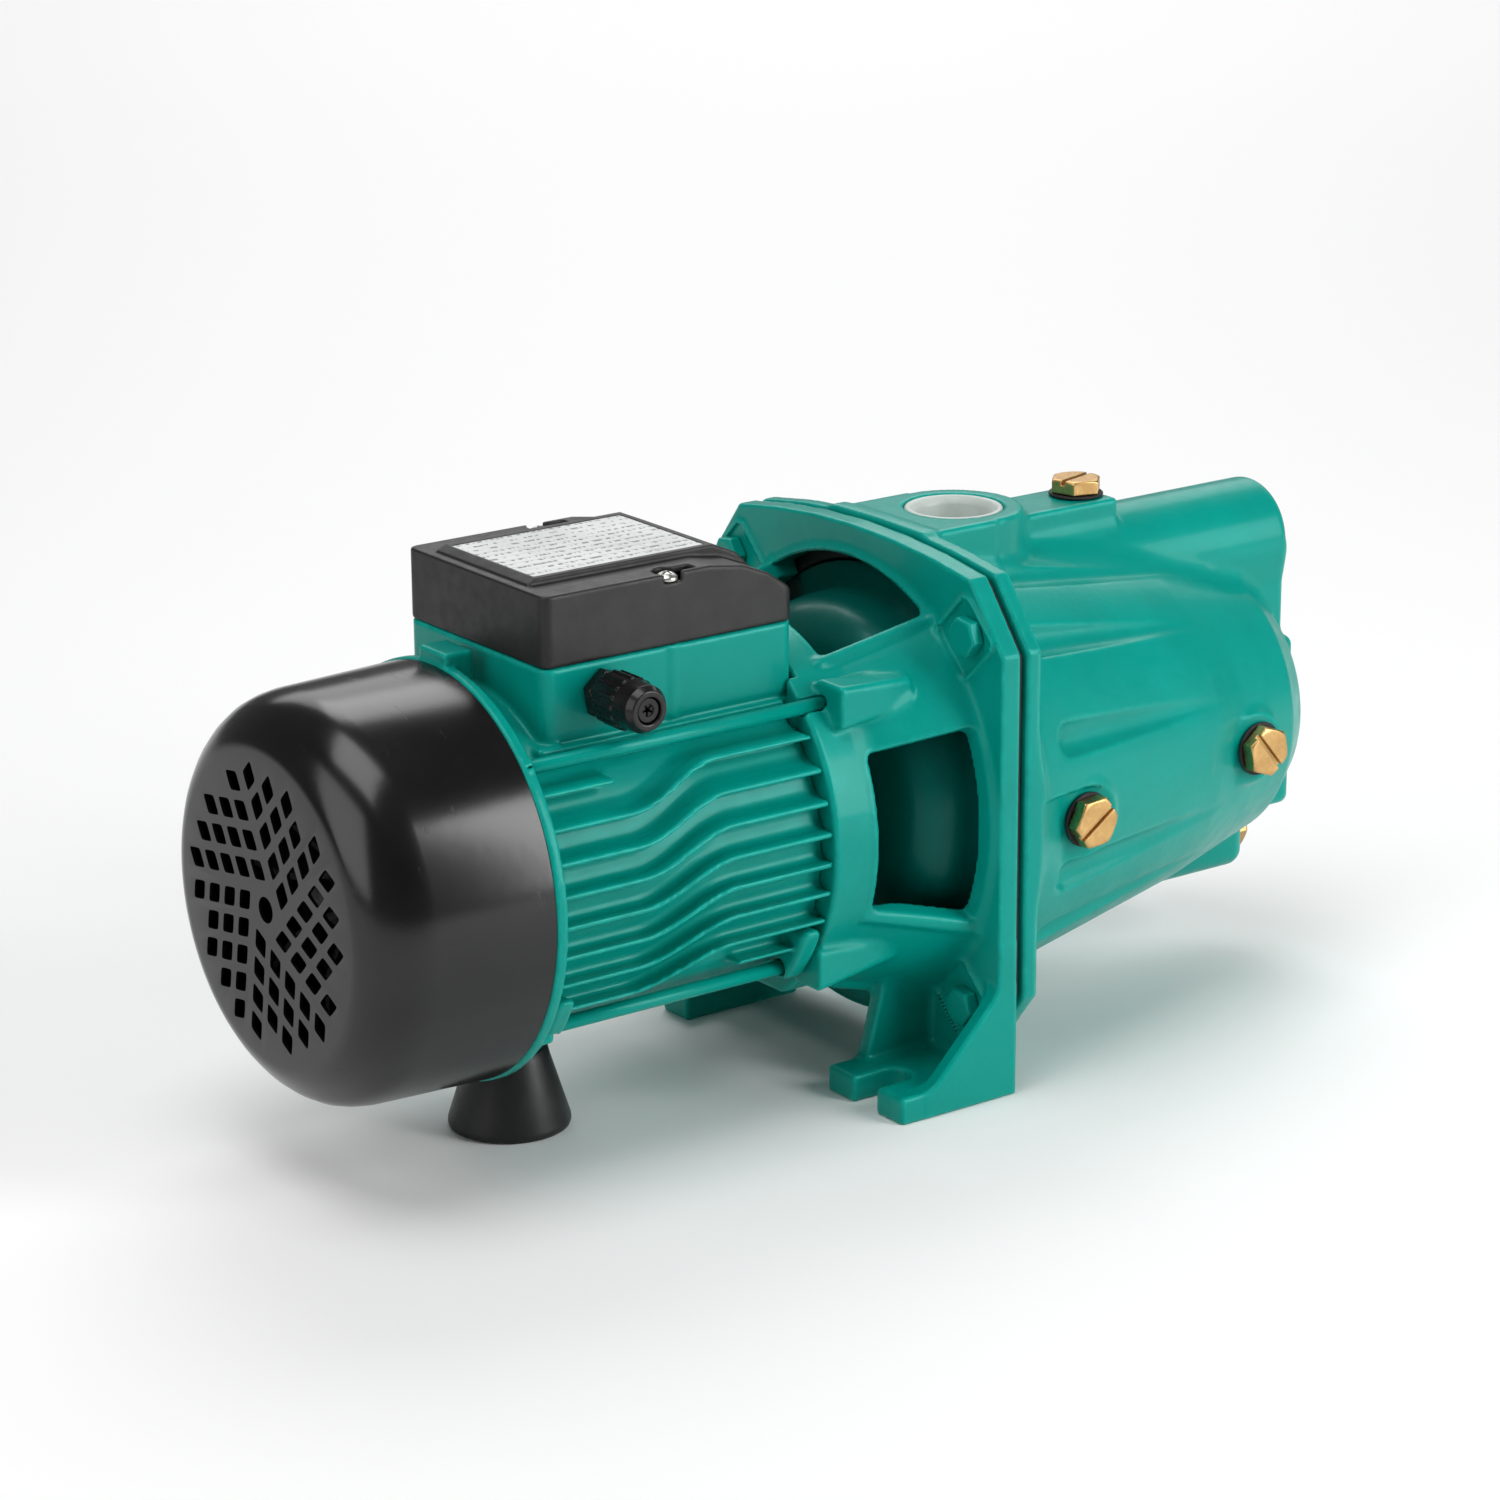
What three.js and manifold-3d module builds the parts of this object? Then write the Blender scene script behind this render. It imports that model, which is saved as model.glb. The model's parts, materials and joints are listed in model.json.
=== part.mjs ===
// Self-priming centrifugal water pump: a fan-cooled motor, a cast lantern bracket on two slotted
// feet, and a conical cast-iron pump casing with brass plugs.
// Millimetres, +Z up, +X from the motor towards the pump, shaft parallel to X.
// Every piece is drawn at its station along the shaft, where station 0 is the rim of the fan
// cover, and one group then moves the whole pump so that its origin is at the middle of its base.

import * as THREE from 'three';
import { mergeVertices } from 'three/addons/utils/BufferGeometryUtils.js';
import Module from 'manifold-3d';

const wasm = await Module();
wasm.setup();

// ---------------------------------------------------------------- driving dimensions

const SHAFT_Z = 101.5;           // height of the shaft's axis
const GAP = 0.3;                 // space left between two pieces that touch
const EPS = 1;                   // how far a cutting tool runs past the face it opens
const FACETS = { large: 24, medium: 16, small: 12, tiny: 8 };

const COVER_BACK = -69;          // flat face of the fan cover
const COVER_R = 75;              // fan cover's rim
const SHEET = 1.3;               // fan cover's sheet
const GRILLE_PITCH = 10.6;       // spacing of the grille's holes
const GRILLE_HOLE = 7.2;         // side of one diamond hole
const GRILLE_ROWS = [5, 4, 3, 1];
const GRILLE_TURN = 261;         // direction of the first spoke, degrees

const RING_R = 76;               // rear endshield's rim
const RING_FRONT = 4.5;
const HOUSING_BACK = RING_FRONT + GAP;
const HOUSING_FRONT = 119.7;
const CORE_R = 61;               // housing's round body
const STATOR_R = 54;
const FIN_R = 72;                // envelope of the fin tips
const FIN_PITCH = 11.1;
const FIN_COUNT = 7;
const FIN_TOP_Z = 131.5;         // uppermost side fin at the fan end
const FIN_T = 2.2;
const FIN_BEND = [38, 80];       // stations between which each fin climbs one pitch

const ROD_R = 2.5;
const ROD_LUG = { back: [0.5, 10], upper: [129, 161], lower: [118, 150] };
const RODS = {
  upper_near: [-52, SHAFT_Z + 49.8],
  upper_far: [52, SHAFT_Z + 49.8],
  lower_near: [-53, SHAFT_Z - 44.8],
  lower_far: [53, SHAFT_Z - 44.8],
};

const BOX = { back: 18, front: 124, half: 42.9, floor: 153.8, rim: 180.6, wall: 4 };
const LID = { shelf: 206.5, crown: 209, slope: 88, nose: 192, wall: 2.5 };
const LABEL = { x: [26, 98], y: [-25.5, 26.5] };
const LID_SCREW = { x: 72, y: 39 };
const GLAND = { x: 42.5, z: 168.8, bore: 4.4, thread: 6.2, flats: 16.5 };

const LANTERN_BACK = 120;
const LANTERN_RING = 139;        // where the windows begin
const LANTERN_R = 73;
const FLANGE_BACK = 182;
const FLANGE_FRONT = 190.7;
const FLANGE_HALF = 88.7;
const FLANGE_SIDE = [36.9, 166.3];
const FLANGE_CORNER = [69.3, 191.4];
const FLANGE_TOP = 197.8;
const WINDOW_SIDE = 28;          // half angle of the side windows, degrees
const WINDOW_TOP = 32;           // half angle of the top and bottom windows, degrees
const BOLT = { y: 71, z: 70, r: 4, flats: 13, head: 5.6 };

const FOOT = { back: 138, top: 10, inner: 44, slot: [60, 73], slotEnd: 158, wall: 6 };
const RUBBER_FOOT = { x: 28, r: 22, top: 30.3 };

const CASE_BACK = 193.3;
const CASE_FLANGE = 200;
const CASE_R = 88.6;             // barrel radius at the flange
const CASE_TAPER = 0.19;
const CASE_EDGE = 354;           // where the barrel turns in
const CASE_FRONT = 374.5;
const CASE_WALL = 7;
const TUBE = { z: 163.5, r: 22, front: 381, bore: 16 };
const OUTLET = { x: 230.5, r: 26, half: 27, top: 197, bore: 15.4 };
const PRIMING = { x: 290, half: 13, back: 226, front: 300, top: 192 };
const DRAIN = { z: 43.5, half: 20, back: 290, front: 368, bottom: 32 };
const PLUG = { r: 6.3, length: 12, flats: 17.5, head: 5.4, washer: 1.1 };
const SIDE_PLUGS = { rear: [228, -81.3, 96.3], front: [327.8, -64.4, 100.2] };
const PLUG_ROLL = { priming: 15, side_rear: 35, side_front: -50, drain: 0 };
const CAP = { r: 18.5, sleeve: 15, cup: 12.4, depth: 17, flange: 1.6, seat: 2.2, floor: 1.6 };

const MIDDLE = (COVER_BACK + TUBE.front) / 2;

// ---------------------------------------------------------------- materials

const paint = { color: 0x00947f, roughness: 0.42, metalness: 0.1 };
const MATERIALS = {
  green_paint: paint,
  black_sheet: { color: 0x0b0b0c, roughness: 0.22, metalness: 0.2 },
  black_plastic: { color: 0x1c1b1b, roughness: 0.6, metalness: 0 },
  rubber: { color: 0x141414, roughness: 0.75, metalness: 0 },
  brass: { color: 0xb5813f, roughness: 0.35, metalness: 0.9 },
  steel: { color: 0xa9abad, roughness: 0.35, metalness: 0.9 },
  laminate: { color: 0x6d7074, roughness: 0.5, metalness: 0.7 },
  copper: { color: 0x8f3f1f, roughness: 0.45, metalness: 0.6 },
  white_plastic: { color: 0xdfe3df, roughness: 0.5, metalness: 0 },
  ceramic: { color: 0xe9e4d8, roughness: 0.3, metalness: 0 },
  label_foil: { color: 0xd6d8d8, roughness: 0.4, metalness: 0.3 },
};

// ---------------------------------------------------------------- solids from three.js geometry

// A closed three.js geometry as a solid, with its faces pointing out.
function solid(geometry) {
  const bare = geometry.index ? geometry.toNonIndexed() : geometry.clone();
  bare.deleteAttribute('normal');
  bare.deleteAttribute('uv');
  const merged = mergeVertices(bare, 1e-4);
  const p = merged.attributes.position.array;
  const triangles = [];
  let volume = 0;
  for (let i = 0; i < merged.index.count; i += 3) {
    const [a, b, c] = [0, 1, 2].map((k) => merged.index.getX(i + k));
    if (a === b || b === c || c === a) continue;
    triangles.push([a, b, c]);
    const [va, vb, vc] = [a, b, c].map((k) => new THREE.Vector3().fromArray(p, 3 * k));
    volume += va.dot(vb.cross(vc));
  }
  if (volume < 0) triangles.forEach((t) => t.reverse());
  return new wasm.Manifold(new wasm.Mesh({
    numProp: 3,
    vertProperties: new Float32Array(p),
    triVerts: new Uint32Array(triangles.flat()),
  }));
}

function box(x0, x1, y0, y1, z0, z1) {
  const geometry = new THREE.BoxGeometry(x1 - x0, y1 - y0, z1 - z0);
  return solid(geometry.translate((x0 + x1) / 2, (y0 + y1) / 2, (z0 + z1) / 2));
}

// The closed outline is a list of [u, v] pairs. The basis says where u, v and the extrusion go.
function extruded(outline, depth, basis, start) {
  const shape = new THREE.Shape(outline.map(([u, v]) => new THREE.Vector2(u, v)));
  const geometry = new THREE.ExtrudeGeometry(shape, { depth, bevelEnabled: false, steps: 1 });
  const turn = new THREE.Matrix4().makeBasis(...basis);
  return solid(geometry.applyMatrix4(turn).translate(...start));
}

const X = new THREE.Vector3(1, 0, 0);
const Y = new THREE.Vector3(0, 1, 0);
const Z = new THREE.Vector3(0, 0, 1);
const DOWN_Y = new THREE.Vector3(0, -1, 0);

const prismX = (yz, x0, x1) => extruded(yz, x1 - x0, [Y, Z, X], [x0, 0, 0]);
const prismY = (xz, y0, y1) => extruded(xz, y1 - y0, [X, Z, DOWN_Y], [0, y1, 0]);
const prismZ = (xy, z0, z1) => extruded(xy, z1 - z0, [X, Y, Z], [0, 0, z0]);

// A turned piece. The profile is a list of [distance along the axis, radius] pairs.
function turned(profile, segments) {
  const closed = profile[0][1] === 0 ? profile : [...profile, profile[0]];
  return new THREE.LatheGeometry(closed.map(([s, r]) => new THREE.Vector2(r, s)), segments);
}

const turnedX = (profile, segments = FACETS.large) => solid(
  turned(profile, segments).rotateZ(-Math.PI / 2).translate(0, 0, SHAFT_Z));
const turnedZ = (profile, segments = FACETS.medium) => solid(
  turned(profile, segments).rotateX(Math.PI / 2));

const rod = (from, to, r) => [[from, 0], [from, r], [to, r], [to, 0]];
const ring = (from, to, inner, outer) => [[from, inner], [from, outer], [to, outer], [to, inner]];

const cylinderX = (x0, x1, r, y, z, n = FACETS.small) => solid(
  turned(rod(x0, x1, r), n).rotateZ(-Math.PI / 2).translate(0, y, z));
const cylinderY = (y0, y1, r, x, z, n = FACETS.small) => solid(
  turned(rod(y0, y1, r), n).translate(x, 0, z));
const cylinderZ = (z0, z1, r, x, y, n = FACETS.small) => turnedZ(rod(z0, z1, r), n).translate([x, y, 0]);

const union = (...pieces) => pieces.reduce((all, piece) => all.add(piece));
const hexRadius = (flats) => flats / Math.sqrt(3);
const radians = THREE.MathUtils.degToRad;

function polar(r, degrees) {
  return [r * Math.cos(radians(degrees)), r * Math.sin(radians(degrees))];
}

function arc(cx, cy, r, from, to, steps) {
  return Array.from({ length: steps + 1 }, (_, i) => {
    const [dx, dy] = polar(r, from + ((to - from) * i) / steps);
    return [cx + dx, cy + dy];
  });
}

// ---------------------------------------------------------------- the assembly's meshes

const pump = new THREE.Group();
pump.position.x = -MIDDLE;

function add(name, body, material, position = [0, 0, 0], direction = null) {
  const mesh = body.getMesh();
  const geometry = new THREE.BufferGeometry();
  geometry.setAttribute('position', new THREE.BufferAttribute(mesh.vertProperties, 3));
  geometry.setIndex(new THREE.BufferAttribute(mesh.triVerts, 1));
  const node = new THREE.Mesh(geometry, new THREE.MeshStandardMaterial(MATERIALS[material]));
  node.name = name;
  node.position.set(...position);
  if (direction) node.quaternion.setFromUnitVectors(Z, direction);
  pump.add(node);
}

// ---------------------------------------------------------------- fan cover

function grilleHoles() {
  const spoke = (degrees) => {
    const [c, s] = polar(1, degrees);
    return new THREE.Vector2(-c, s);
  };
  const holes = [];
  for (let k = 0; k < 5; k += 1) {
    const a = GRILLE_TURN + 72 * k;
    const along = spoke(a + 72);
    const across = spoke(a);
    const start = spoke(a - 9).multiplyScalar(14);
    GRILLE_ROWS.forEach((count, row) => {
      for (let i = 0; i < count; i += 1) {
        const centre = start.clone()
          .addScaledVector(along, i * GRILLE_PITCH)
          .addScaledVector(across, row * GRILLE_PITCH);
        const corners = [[1, 1], [1, -1], [-1, -1], [-1, 1]].map(([u, v]) => {
          const p = centre.clone()
            .addScaledVector(along, (u * GRILLE_HOLE) / 2)
            .addScaledVector(across, (v * GRILLE_HOLE) / 2);
          return [p.x, p.y + SHAFT_Z];
        });
        holes.push(prismX(corners, COVER_BACK - EPS, COVER_BACK + 8));
      }
    });
  }
  holes.push(cylinderX(COVER_BACK - EPS, COVER_BACK + 8, 4.7, 0, SHAFT_Z));
  return wasm.Manifold.union(holes);
}

function fanCover() {
  const outer = [[COVER_BACK, 0], [COVER_BACK, 55], [-66.6, 62], [-62, 68], [-56, 72], [-50, 73.5]];
  const inner = outer.map(([x, r]) => [x + SHEET, Math.max(0, r - (r > 60 ? SHEET : 0.4))]);
  const rim = [[0, COVER_R], [0, COVER_R - SHEET]];
  return turnedX([...outer, ...rim, ...inner.reverse()]).subtract(grilleHoles());
}

add('fan_cover', fanCover(), 'black_sheet');

// ---------------------------------------------------------------- bearings

const REAR_BEARING = { x: -8.5, width: 11, bore: 7.5, outside: 17.5 };
const FRONT_BEARING = { x: 121, width: 12, bore: 8.5, outside: 20 };
const BALLS = 6;

function bearing(name, { x, width, bore, outside }) {
  const land = (outside - bore) * 0.26;
  const middle = (bore + outside) / 2;
  const ballR = (outside - bore) / 2 - land - 2 * GAP;
  const outer = ring(x, x + width, outside - land, outside);
  const inner = ring(x, x + width, bore + GAP, bore + land);
  const cage = [turnedX(ring(x + 3, x + width - 3, middle - 0.6, middle + 0.6), FACETS.tiny)];
  for (let i = 0; i < BALLS; i += 1) {
    const [y, z] = polar(middle, (360 * i) / BALLS);
    const ball = new THREE.SphereGeometry(ballR, 6, 3).translate(x + width / 2, y, SHAFT_Z + z);
    cage.push(solid(ball));
  }
  add(`${name}_bearing_outer_ring`, turnedX(outer, FACETS.medium), 'steel');
  add(`${name}_bearing_inner_ring`, turnedX(inner, FACETS.small), 'steel');
  add(`${name}_bearing_ball_cage`, union(...cage), 'steel');
}

bearing('rear', REAR_BEARING);
bearing('front', FRONT_BEARING);

// ---------------------------------------------------------------- rear endshield and tie rods

// A square lug behind the housing, which takes the end of a tie rod.
function rearLug([y, z]) {
  const [x0, x1] = ROD_LUG.back;
  return box(x0, x1, y - 5, y + 5, z - 4.5, z + 4.5).intersect(turnedX(rod(0, 20, RING_R)));
}

function rearEndshield() {
  const seat = REAR_BEARING.outside + GAP;
  let shield = turnedX([
    [-12, 8.5], [-12, 23], [-4, 25], [-6, COVER_R - SHEET - 0.6], [GAP, COVER_R - SHEET - 0.6],
    [GAP, RING_R], [RING_FRONT, RING_R], [RING_FRONT, 58], [0, 24], [RING_FRONT, 22],
    [RING_FRONT, seat], [REAR_BEARING.x - GAP, seat], [REAR_BEARING.x - GAP, 8.5],
  ]);
  for (const place of Object.values(RODS)) {
    shield = shield.add(rearLug(place)).subtract(cylinderX(3, 20, ROD_R + 2 * GAP, ...place, FACETS.tiny));
  }
  return shield;
}

add('rear_endshield', rearEndshield(), 'green_paint');

for (const [place, [y, z]] of Object.entries(RODS)) {
  const end = place.startsWith('upper') ? ROD_LUG.upper[0] : ROD_LUG.lower[0];
  add(`tie_rod_${place}`, cylinderX(3 + GAP, end + 12, ROD_R, y, z, FACETS.tiny), 'green_paint');
}

// ---------------------------------------------------------------- motor housing

// Height of a side fin above its own rear end at a station along the shaft.
function finRise(x) {
  const t = THREE.MathUtils.clamp((x - FIN_BEND[0]) / (FIN_BEND[1] - FIN_BEND[0]), 0, 1);
  return (FIN_PITCH * (1 - Math.cos(Math.PI * t))) / 2;
}

function wavyFin(z, x0, x1, side) {
  const stations = [x0, FIN_BEND[0]];
  for (let i = 1; i < 5; i += 1) stations.push(FIN_BEND[0] + (i * (FIN_BEND[1] - FIN_BEND[0])) / 5);
  stations.push(FIN_BEND[1], x1);
  const upper = stations.map((x) => [x, z + finRise(x) + FIN_T / 2]);
  const lower = stations.map((x) => [x, z + finRise(x) - FIN_T / 2]).reverse();
  const [y0, y1] = side < 0 ? [-80, -40] : [40, 80];
  return prismY([...upper, ...lower], y0, y1);
}

function housingFins() {
  const fins = [];
  const start = HOUSING_BACK + 0.5;
  for (const side of [-1, 1]) {
    for (let k = 0; k < FIN_COUNT; k += 1) {
      fins.push(wavyFin(FIN_TOP_Z - k * FIN_PITCH, start, HOUSING_FRONT, side));
    }
    const [y0, y1] = side < 0 ? [-80, -40] : [40, 80];
    fins.push(box(start, 27, y0, y1, 141.4, 143.6));
  }
  const envelope = turnedX(rod(0, HOUSING_FRONT, FIN_R));
  return wasm.Manifold.union(fins).intersect(envelope);
}

function terminalBoxBase() {
  const { back, front, half, floor, rim, wall } = BOX;
  const r = 4.5;
  const plan = (inset) => [
    ...arc(front - r, half - r, r - inset, 0, 90, 3), ...arc(back + r, half - r, r - inset, 90, 180, 3),
    ...arc(back + r, -half + r, r - inset, 180, 270, 3),
    ...arc(front - r, -half + r, r - inset, 270, 360, 3),
  ];
  const ledge = box(back - 4, HOUSING_FRONT, -half - 2.5, half + 2.5, floor - 10, floor);
  const shell = prismZ(plan(0), floor - 0.5, rim).add(ledge);
  const hollow = prismZ(plan(wall), floor + wall, rim + EPS);
  const roof = turnedX(rod(0, 130, CORE_R));
  const posts = [-1, 1].map((side) => cylinderZ(floor, rim, 4.2, LID_SCREW.x, side * LID_SCREW.y));
  const pilot = [-1, 1].map(
    (side) => cylinderZ(floor + 14, rim + EPS, 2.1, LID_SCREW.x, side * LID_SCREW.y));
  return shell
    .subtract(hollow.subtract(roof))
    .add(posts[0]).add(posts[1])
    .subtract(pilot[0]).subtract(pilot[1])
    .subtract(cylinderY(-half - EPS, -half + wall + EPS, GLAND.thread + 2 * GAP, GLAND.x, GLAND.z));
}

// Room in the housing for the lugs at both ends of a tie rod.
function lugRoom([y, z]) {
  const rear = box(0, ROD_LUG.back[1] + GAP, y - 5.3, y + 5.3, z - 4.8, z + 4.8);
  return rear.add(box(ROD_LUG.lower[0] - GAP, 130, y - 8, y + 8, z - 8, z + 8));
}

function motorHousing() {
  const footBoss = cylinderZ(RUBBER_FOOT.top + GAP, 45, 12, RUBBER_FOOT.x, 0);
  const body = union(
    turnedX(rod(HOUSING_BACK, HOUSING_FRONT, CORE_R)), housingFins(), terminalBoxBase());
  const cuts = [
    turnedX(rod(0, 130, STATOR_R + GAP)),
    cylinderZ(140, 175, 6, 104, 0),
  ];
  for (const place of Object.values(RODS)) {
    cuts.push(cylinderX(0, 130, ROD_R + 0.7, ...place, FACETS.tiny));
    cuts.push(lugRoom(place));
  }
  const bored = body.subtract(wasm.Manifold.union(cuts));
  const boss = footBoss.subtract(turnedX(rod(0, 130, STATOR_R + GAP)));
  return bored.add(boss).subtract(cylinderZ(29, 50, 3.4, RUBBER_FOOT.x, 0));
}

add('motor_housing', motorHousing(), 'green_paint');

// ---------------------------------------------------------------- rubber foot

const footProfile = [
  [0, 8], [0, RUBBER_FOOT.r], [3, RUBBER_FOOT.r + 0.3], [RUBBER_FOOT.top, 14], [RUBBER_FOOT.top, 3.4],
  [12, 3.4], [12, 8],
];
add('rubber_foot', turnedZ(footProfile), 'rubber', [RUBBER_FOOT.x, 0, 0]);
const footScrew = turnedZ(rod(8.2, 11.7, hexRadius(10)), 6).add(turnedZ(rod(11, 44, 3), FACETS.small));
add('foot_screw', footScrew, 'steel', [RUBBER_FOOT.x, 0, 0]);

// ---------------------------------------------------------------- stator

function statorCore() {
  const slots = [];
  for (let k = 0; k < 24; k += 1) {
    const slot = box(29, 101, -2.1, 2.1, 29, 45);
    slots.push(slot.rotate([15 * k, 0, 0]).translate([0, 0, SHAFT_Z]));
  }
  return turnedX(ring(30, 100, 30.5, STATOR_R), FACETS.large).subtract(wasm.Manifold.union(slots));
}

const windingProfile = (x0, x1) => [
  [x0, 34], [x0, 47], [(x0 + x1) / 2, 50], [x1, 47], [x1, 34], [(x0 + x1) / 2, 32],
];
add('stator_core', statorCore(), 'laminate');
add('winding_rear', turnedX(windingProfile(13, 30 - GAP), FACETS.medium), 'copper');
add('winding_front', turnedX(windingProfile(100 + GAP, 116), FACETS.medium), 'copper');

// ---------------------------------------------------------------- terminal box

function lidProfile(inset) {
  const { back, front, rim } = BOX;
  const low = rim + GAP - (inset ? EPS : 0);
  return [
    [back + inset, low], [back + inset, LID.shelf - inset], [LID.slope, LID.shelf - inset],
    [102, 204.3 - inset], [113, 199.8 - inset], [front - inset, LID.nose - inset / 2],
    [front - inset, low],
  ];
}

function terminalLid() {
  const half = BOX.half + 0.2;
  const plateau = [
    [22, 200], [22, 207.2], [26, LID.crown], [100, LID.crown], [110, 204.6], [118, 197],
  ];
  let lid = prismY(lidProfile(0), -half, half).add(prismY(plateau, -28, 30));
  lid = lid.subtract(prismY(lidProfile(LID.wall), -half + LID.wall, half - LID.wall));
  lid = lid.subtract(box(...LABEL.x, ...LABEL.y, LID.crown - 1, 215));
  for (const side of [-1, 1]) {
    const y = side * LID_SCREW.y;
    const post = cylinderZ(BOX.rim + GAP, 203, 4.2, LID_SCREW.x, y);
    const within = box(BOX.back, BOX.front, -half, half, 150, 220);
    lid = lid
      .add(post.intersect(within))
      .subtract(cylinderZ(203, 208, 4.4, LID_SCREW.x, y))
      .subtract(cylinderZ(170, 208, 2.1, LID_SCREW.x, y));
  }
  return lid;
}

add('terminal_lid', terminalLid(), 'black_plastic');
const [labelX, labelY] = [LABEL.x, LABEL.y].map(([low, high]) => [low + GAP, high - GAP]);
add('rating_label', box(...labelX, ...labelY, LID.crown - 1 + GAP, LID.crown - 0.2), 'label_foil');

const screwProfile = [[176, 0], [176, 1.7], [203.3, 1.7], [203.3, 4], [205, 3.6], [206, 2], [206, 0]];
const lidScrew = turnedZ(screwProfile, FACETS.small)
  .subtract(box(-2.4, 2.4, -0.5, 0.5, 205, 207))
  .subtract(box(-0.5, 0.5, -2.4, 2.4, 205, 207));
add('lid_screw_near', lidScrew, 'steel', [LID_SCREW.x, -LID_SCREW.y, 0]);
add('lid_screw_far', lidScrew, 'steel', [LID_SCREW.x, LID_SCREW.y, 0]);

add('run_capacitor', cylinderX(34, 92, 15, 18, 181, FACETS.medium), 'white_plastic');

function terminalBlock() {
  const pitch = 11;
  let block = box(50, 96, -30, -12, 168, 178);
  for (let i = 0; i < 4; i += 1) {
    block = block.subtract(cylinderZ(174, 179, 3.2, 57 + pitch * i, -21, FACETS.tiny));
  }
  return block.add(box(54, 92, -27, -15, 163.5, 168.5));
}

add('terminal_block', terminalBlock(), 'black_plastic');

// Cable gland, drawn along +Z from the box wall and turned to face away from the wall.
const glandPlace = [GLAND.x, -BOX.half, GLAND.z];
const glandBody = turnedZ(rod(GAP, 5, hexRadius(GLAND.flats)), 6)
  .add(turnedZ(rod(-9, 15, GLAND.thread)))
  .subtract(turnedZ(rod(-20, 40, GLAND.bore)));
add('gland_body', glandBody, 'black_plastic', glandPlace, DOWN_Y);
const locknut = turnedZ(rod(-7.5, -4 - GAP, hexRadius(GLAND.flats)), 6)
  .subtract(turnedZ(rod(-10, 0, GLAND.thread + 2 * GAP)));
add('gland_locknut', locknut, 'black_plastic', glandPlace, DOWN_Y);

function glandNut() {
  const inner = GLAND.thread + 2 * GAP;
  let nut = turnedZ([[5 + GAP, inner], [5 + GAP, 9.1], [17, 9.1], [18.5, 9], [25, 8.6], [27.5, 6.8],
    [27.5, 4.8], [16, 4.8], [16, inner]]);
  for (let k = 0; k < 8; k += 1) {
    nut = nut.add(box(-0.7, 0.7, 8, 9.6, 6, 16.5).rotate([0, 0, 45 * k + 22.5]));
  }
  return nut;
}

add('gland_nut', glandNut(), 'black_plastic', glandPlace, DOWN_Y);
add('gland_seal', turnedZ(ring(15 + GAP, 26.5, 2.2, 4.2)), 'rubber', glandPlace, DOWN_Y);

// ---------------------------------------------------------------- flanges

const crown = (y) => FLANGE_TOP - (FLANGE_TOP - FLANGE_CORNER[1]) * (y / FLANGE_CORNER[0]) ** 2;

// Upper half of the flange outline from one side to the other, inset all round.
function flangeTop(inset) {
  const half = FLANGE_HALF - inset;
  const points = [[half, FLANGE_SIDE[1] - inset / 2]];
  for (let i = 0; i <= 8; i += 1) {
    const y = FLANGE_CORNER[0] * (1 - i / 4);
    points.push([y * (1 - inset / FLANGE_HALF), crown(y) - inset]);
  }
  points.push([-half, FLANGE_SIDE[1] - inset / 2]);
  return points;
}

function flangeOutline(inset = 0) {
  const top = flangeTop(inset);
  const bottom = top.map(([y, z]) => [y, 2 * SHAFT_Z - z]).reverse();
  return [...top, ...bottom];
}

function boltHoles(x0, x1) {
  const holes = [];
  for (const y of [-BOLT.y, BOLT.y]) {
    for (const z of [SHAFT_Z - BOLT.z, SHAFT_Z + BOLT.z]) {
      holes.push(cylinderX(x0, x1, BOLT.r + GAP, y, z));
    }
  }
  return wasm.Manifold.union(holes);
}

// ---------------------------------------------------------------- lantern bracket with feet

function foot(side) {
  const { back, top, inner, slot, slotEnd, wall } = FOOT;
  const slotR = (slot[1] - slot[0]) / 2;
  const slotY = (slot[0] + slot[1]) / 2;
  const plan = [
    [back, inner], [back, slot[0]],
    ...arc(slotEnd - slotR, slotY, slotR, -90, 90, 6),
    [back, slot[1]], [back, FLANGE_HALF], [FLANGE_FRONT, FLANGE_HALF], [FLANGE_FRONT, inner],
  ].map(([x, y]) => [x, side * y]);
  const span = (near, far) => (side < 0 ? [-far, -near] : [near, far]);
  const leg = box(FLANGE_BACK, FLANGE_FRONT, ...span(inner, FLANGE_HALF), 0, 45);
  const gusset = prismY(
    [[150, top - 1], [183, 42], [FLANGE_FRONT, 42], [FLANGE_FRONT, 0], [150, 0]],
    ...span(FLANGE_HALF - wall, FLANGE_HALF));
  const web = prismY(
    [[151, top - 1], [160, 42], [176, 56], [FLANGE_FRONT, 56], [FLANGE_FRONT, 0], [151, 0]],
    ...span(inner, inner + wall));
  return union(prismZ(plan, 0, top), leg, gusset, web);
}

// A tapered lug on the lantern, which a tie rod screws into.
function rodLug([y, z]) {
  const up = Math.sign(z - SHAFT_Z);
  const [x0, x1] = up > 0 ? ROD_LUG.upper : ROD_LUG.lower;
  return prismY(
    [[x0, z - up * 7], [x0, z + up * 7], [x0 + 11, z + up * 7], [x1, z - up * 5], [x1, z - up * 7]],
    y - 7.5, y + 7.5);
}

function wedge(centre, half, x0, x1) {
  const tip = [0, SHAFT_Z];
  const ray = (degrees) => {
    const [y, z] = polar(160, degrees);
    return [y, z + SHAFT_Z];
  };
  return prismX([tip, ray(centre - half), ray(centre + half)], x0, x1);
}

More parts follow.
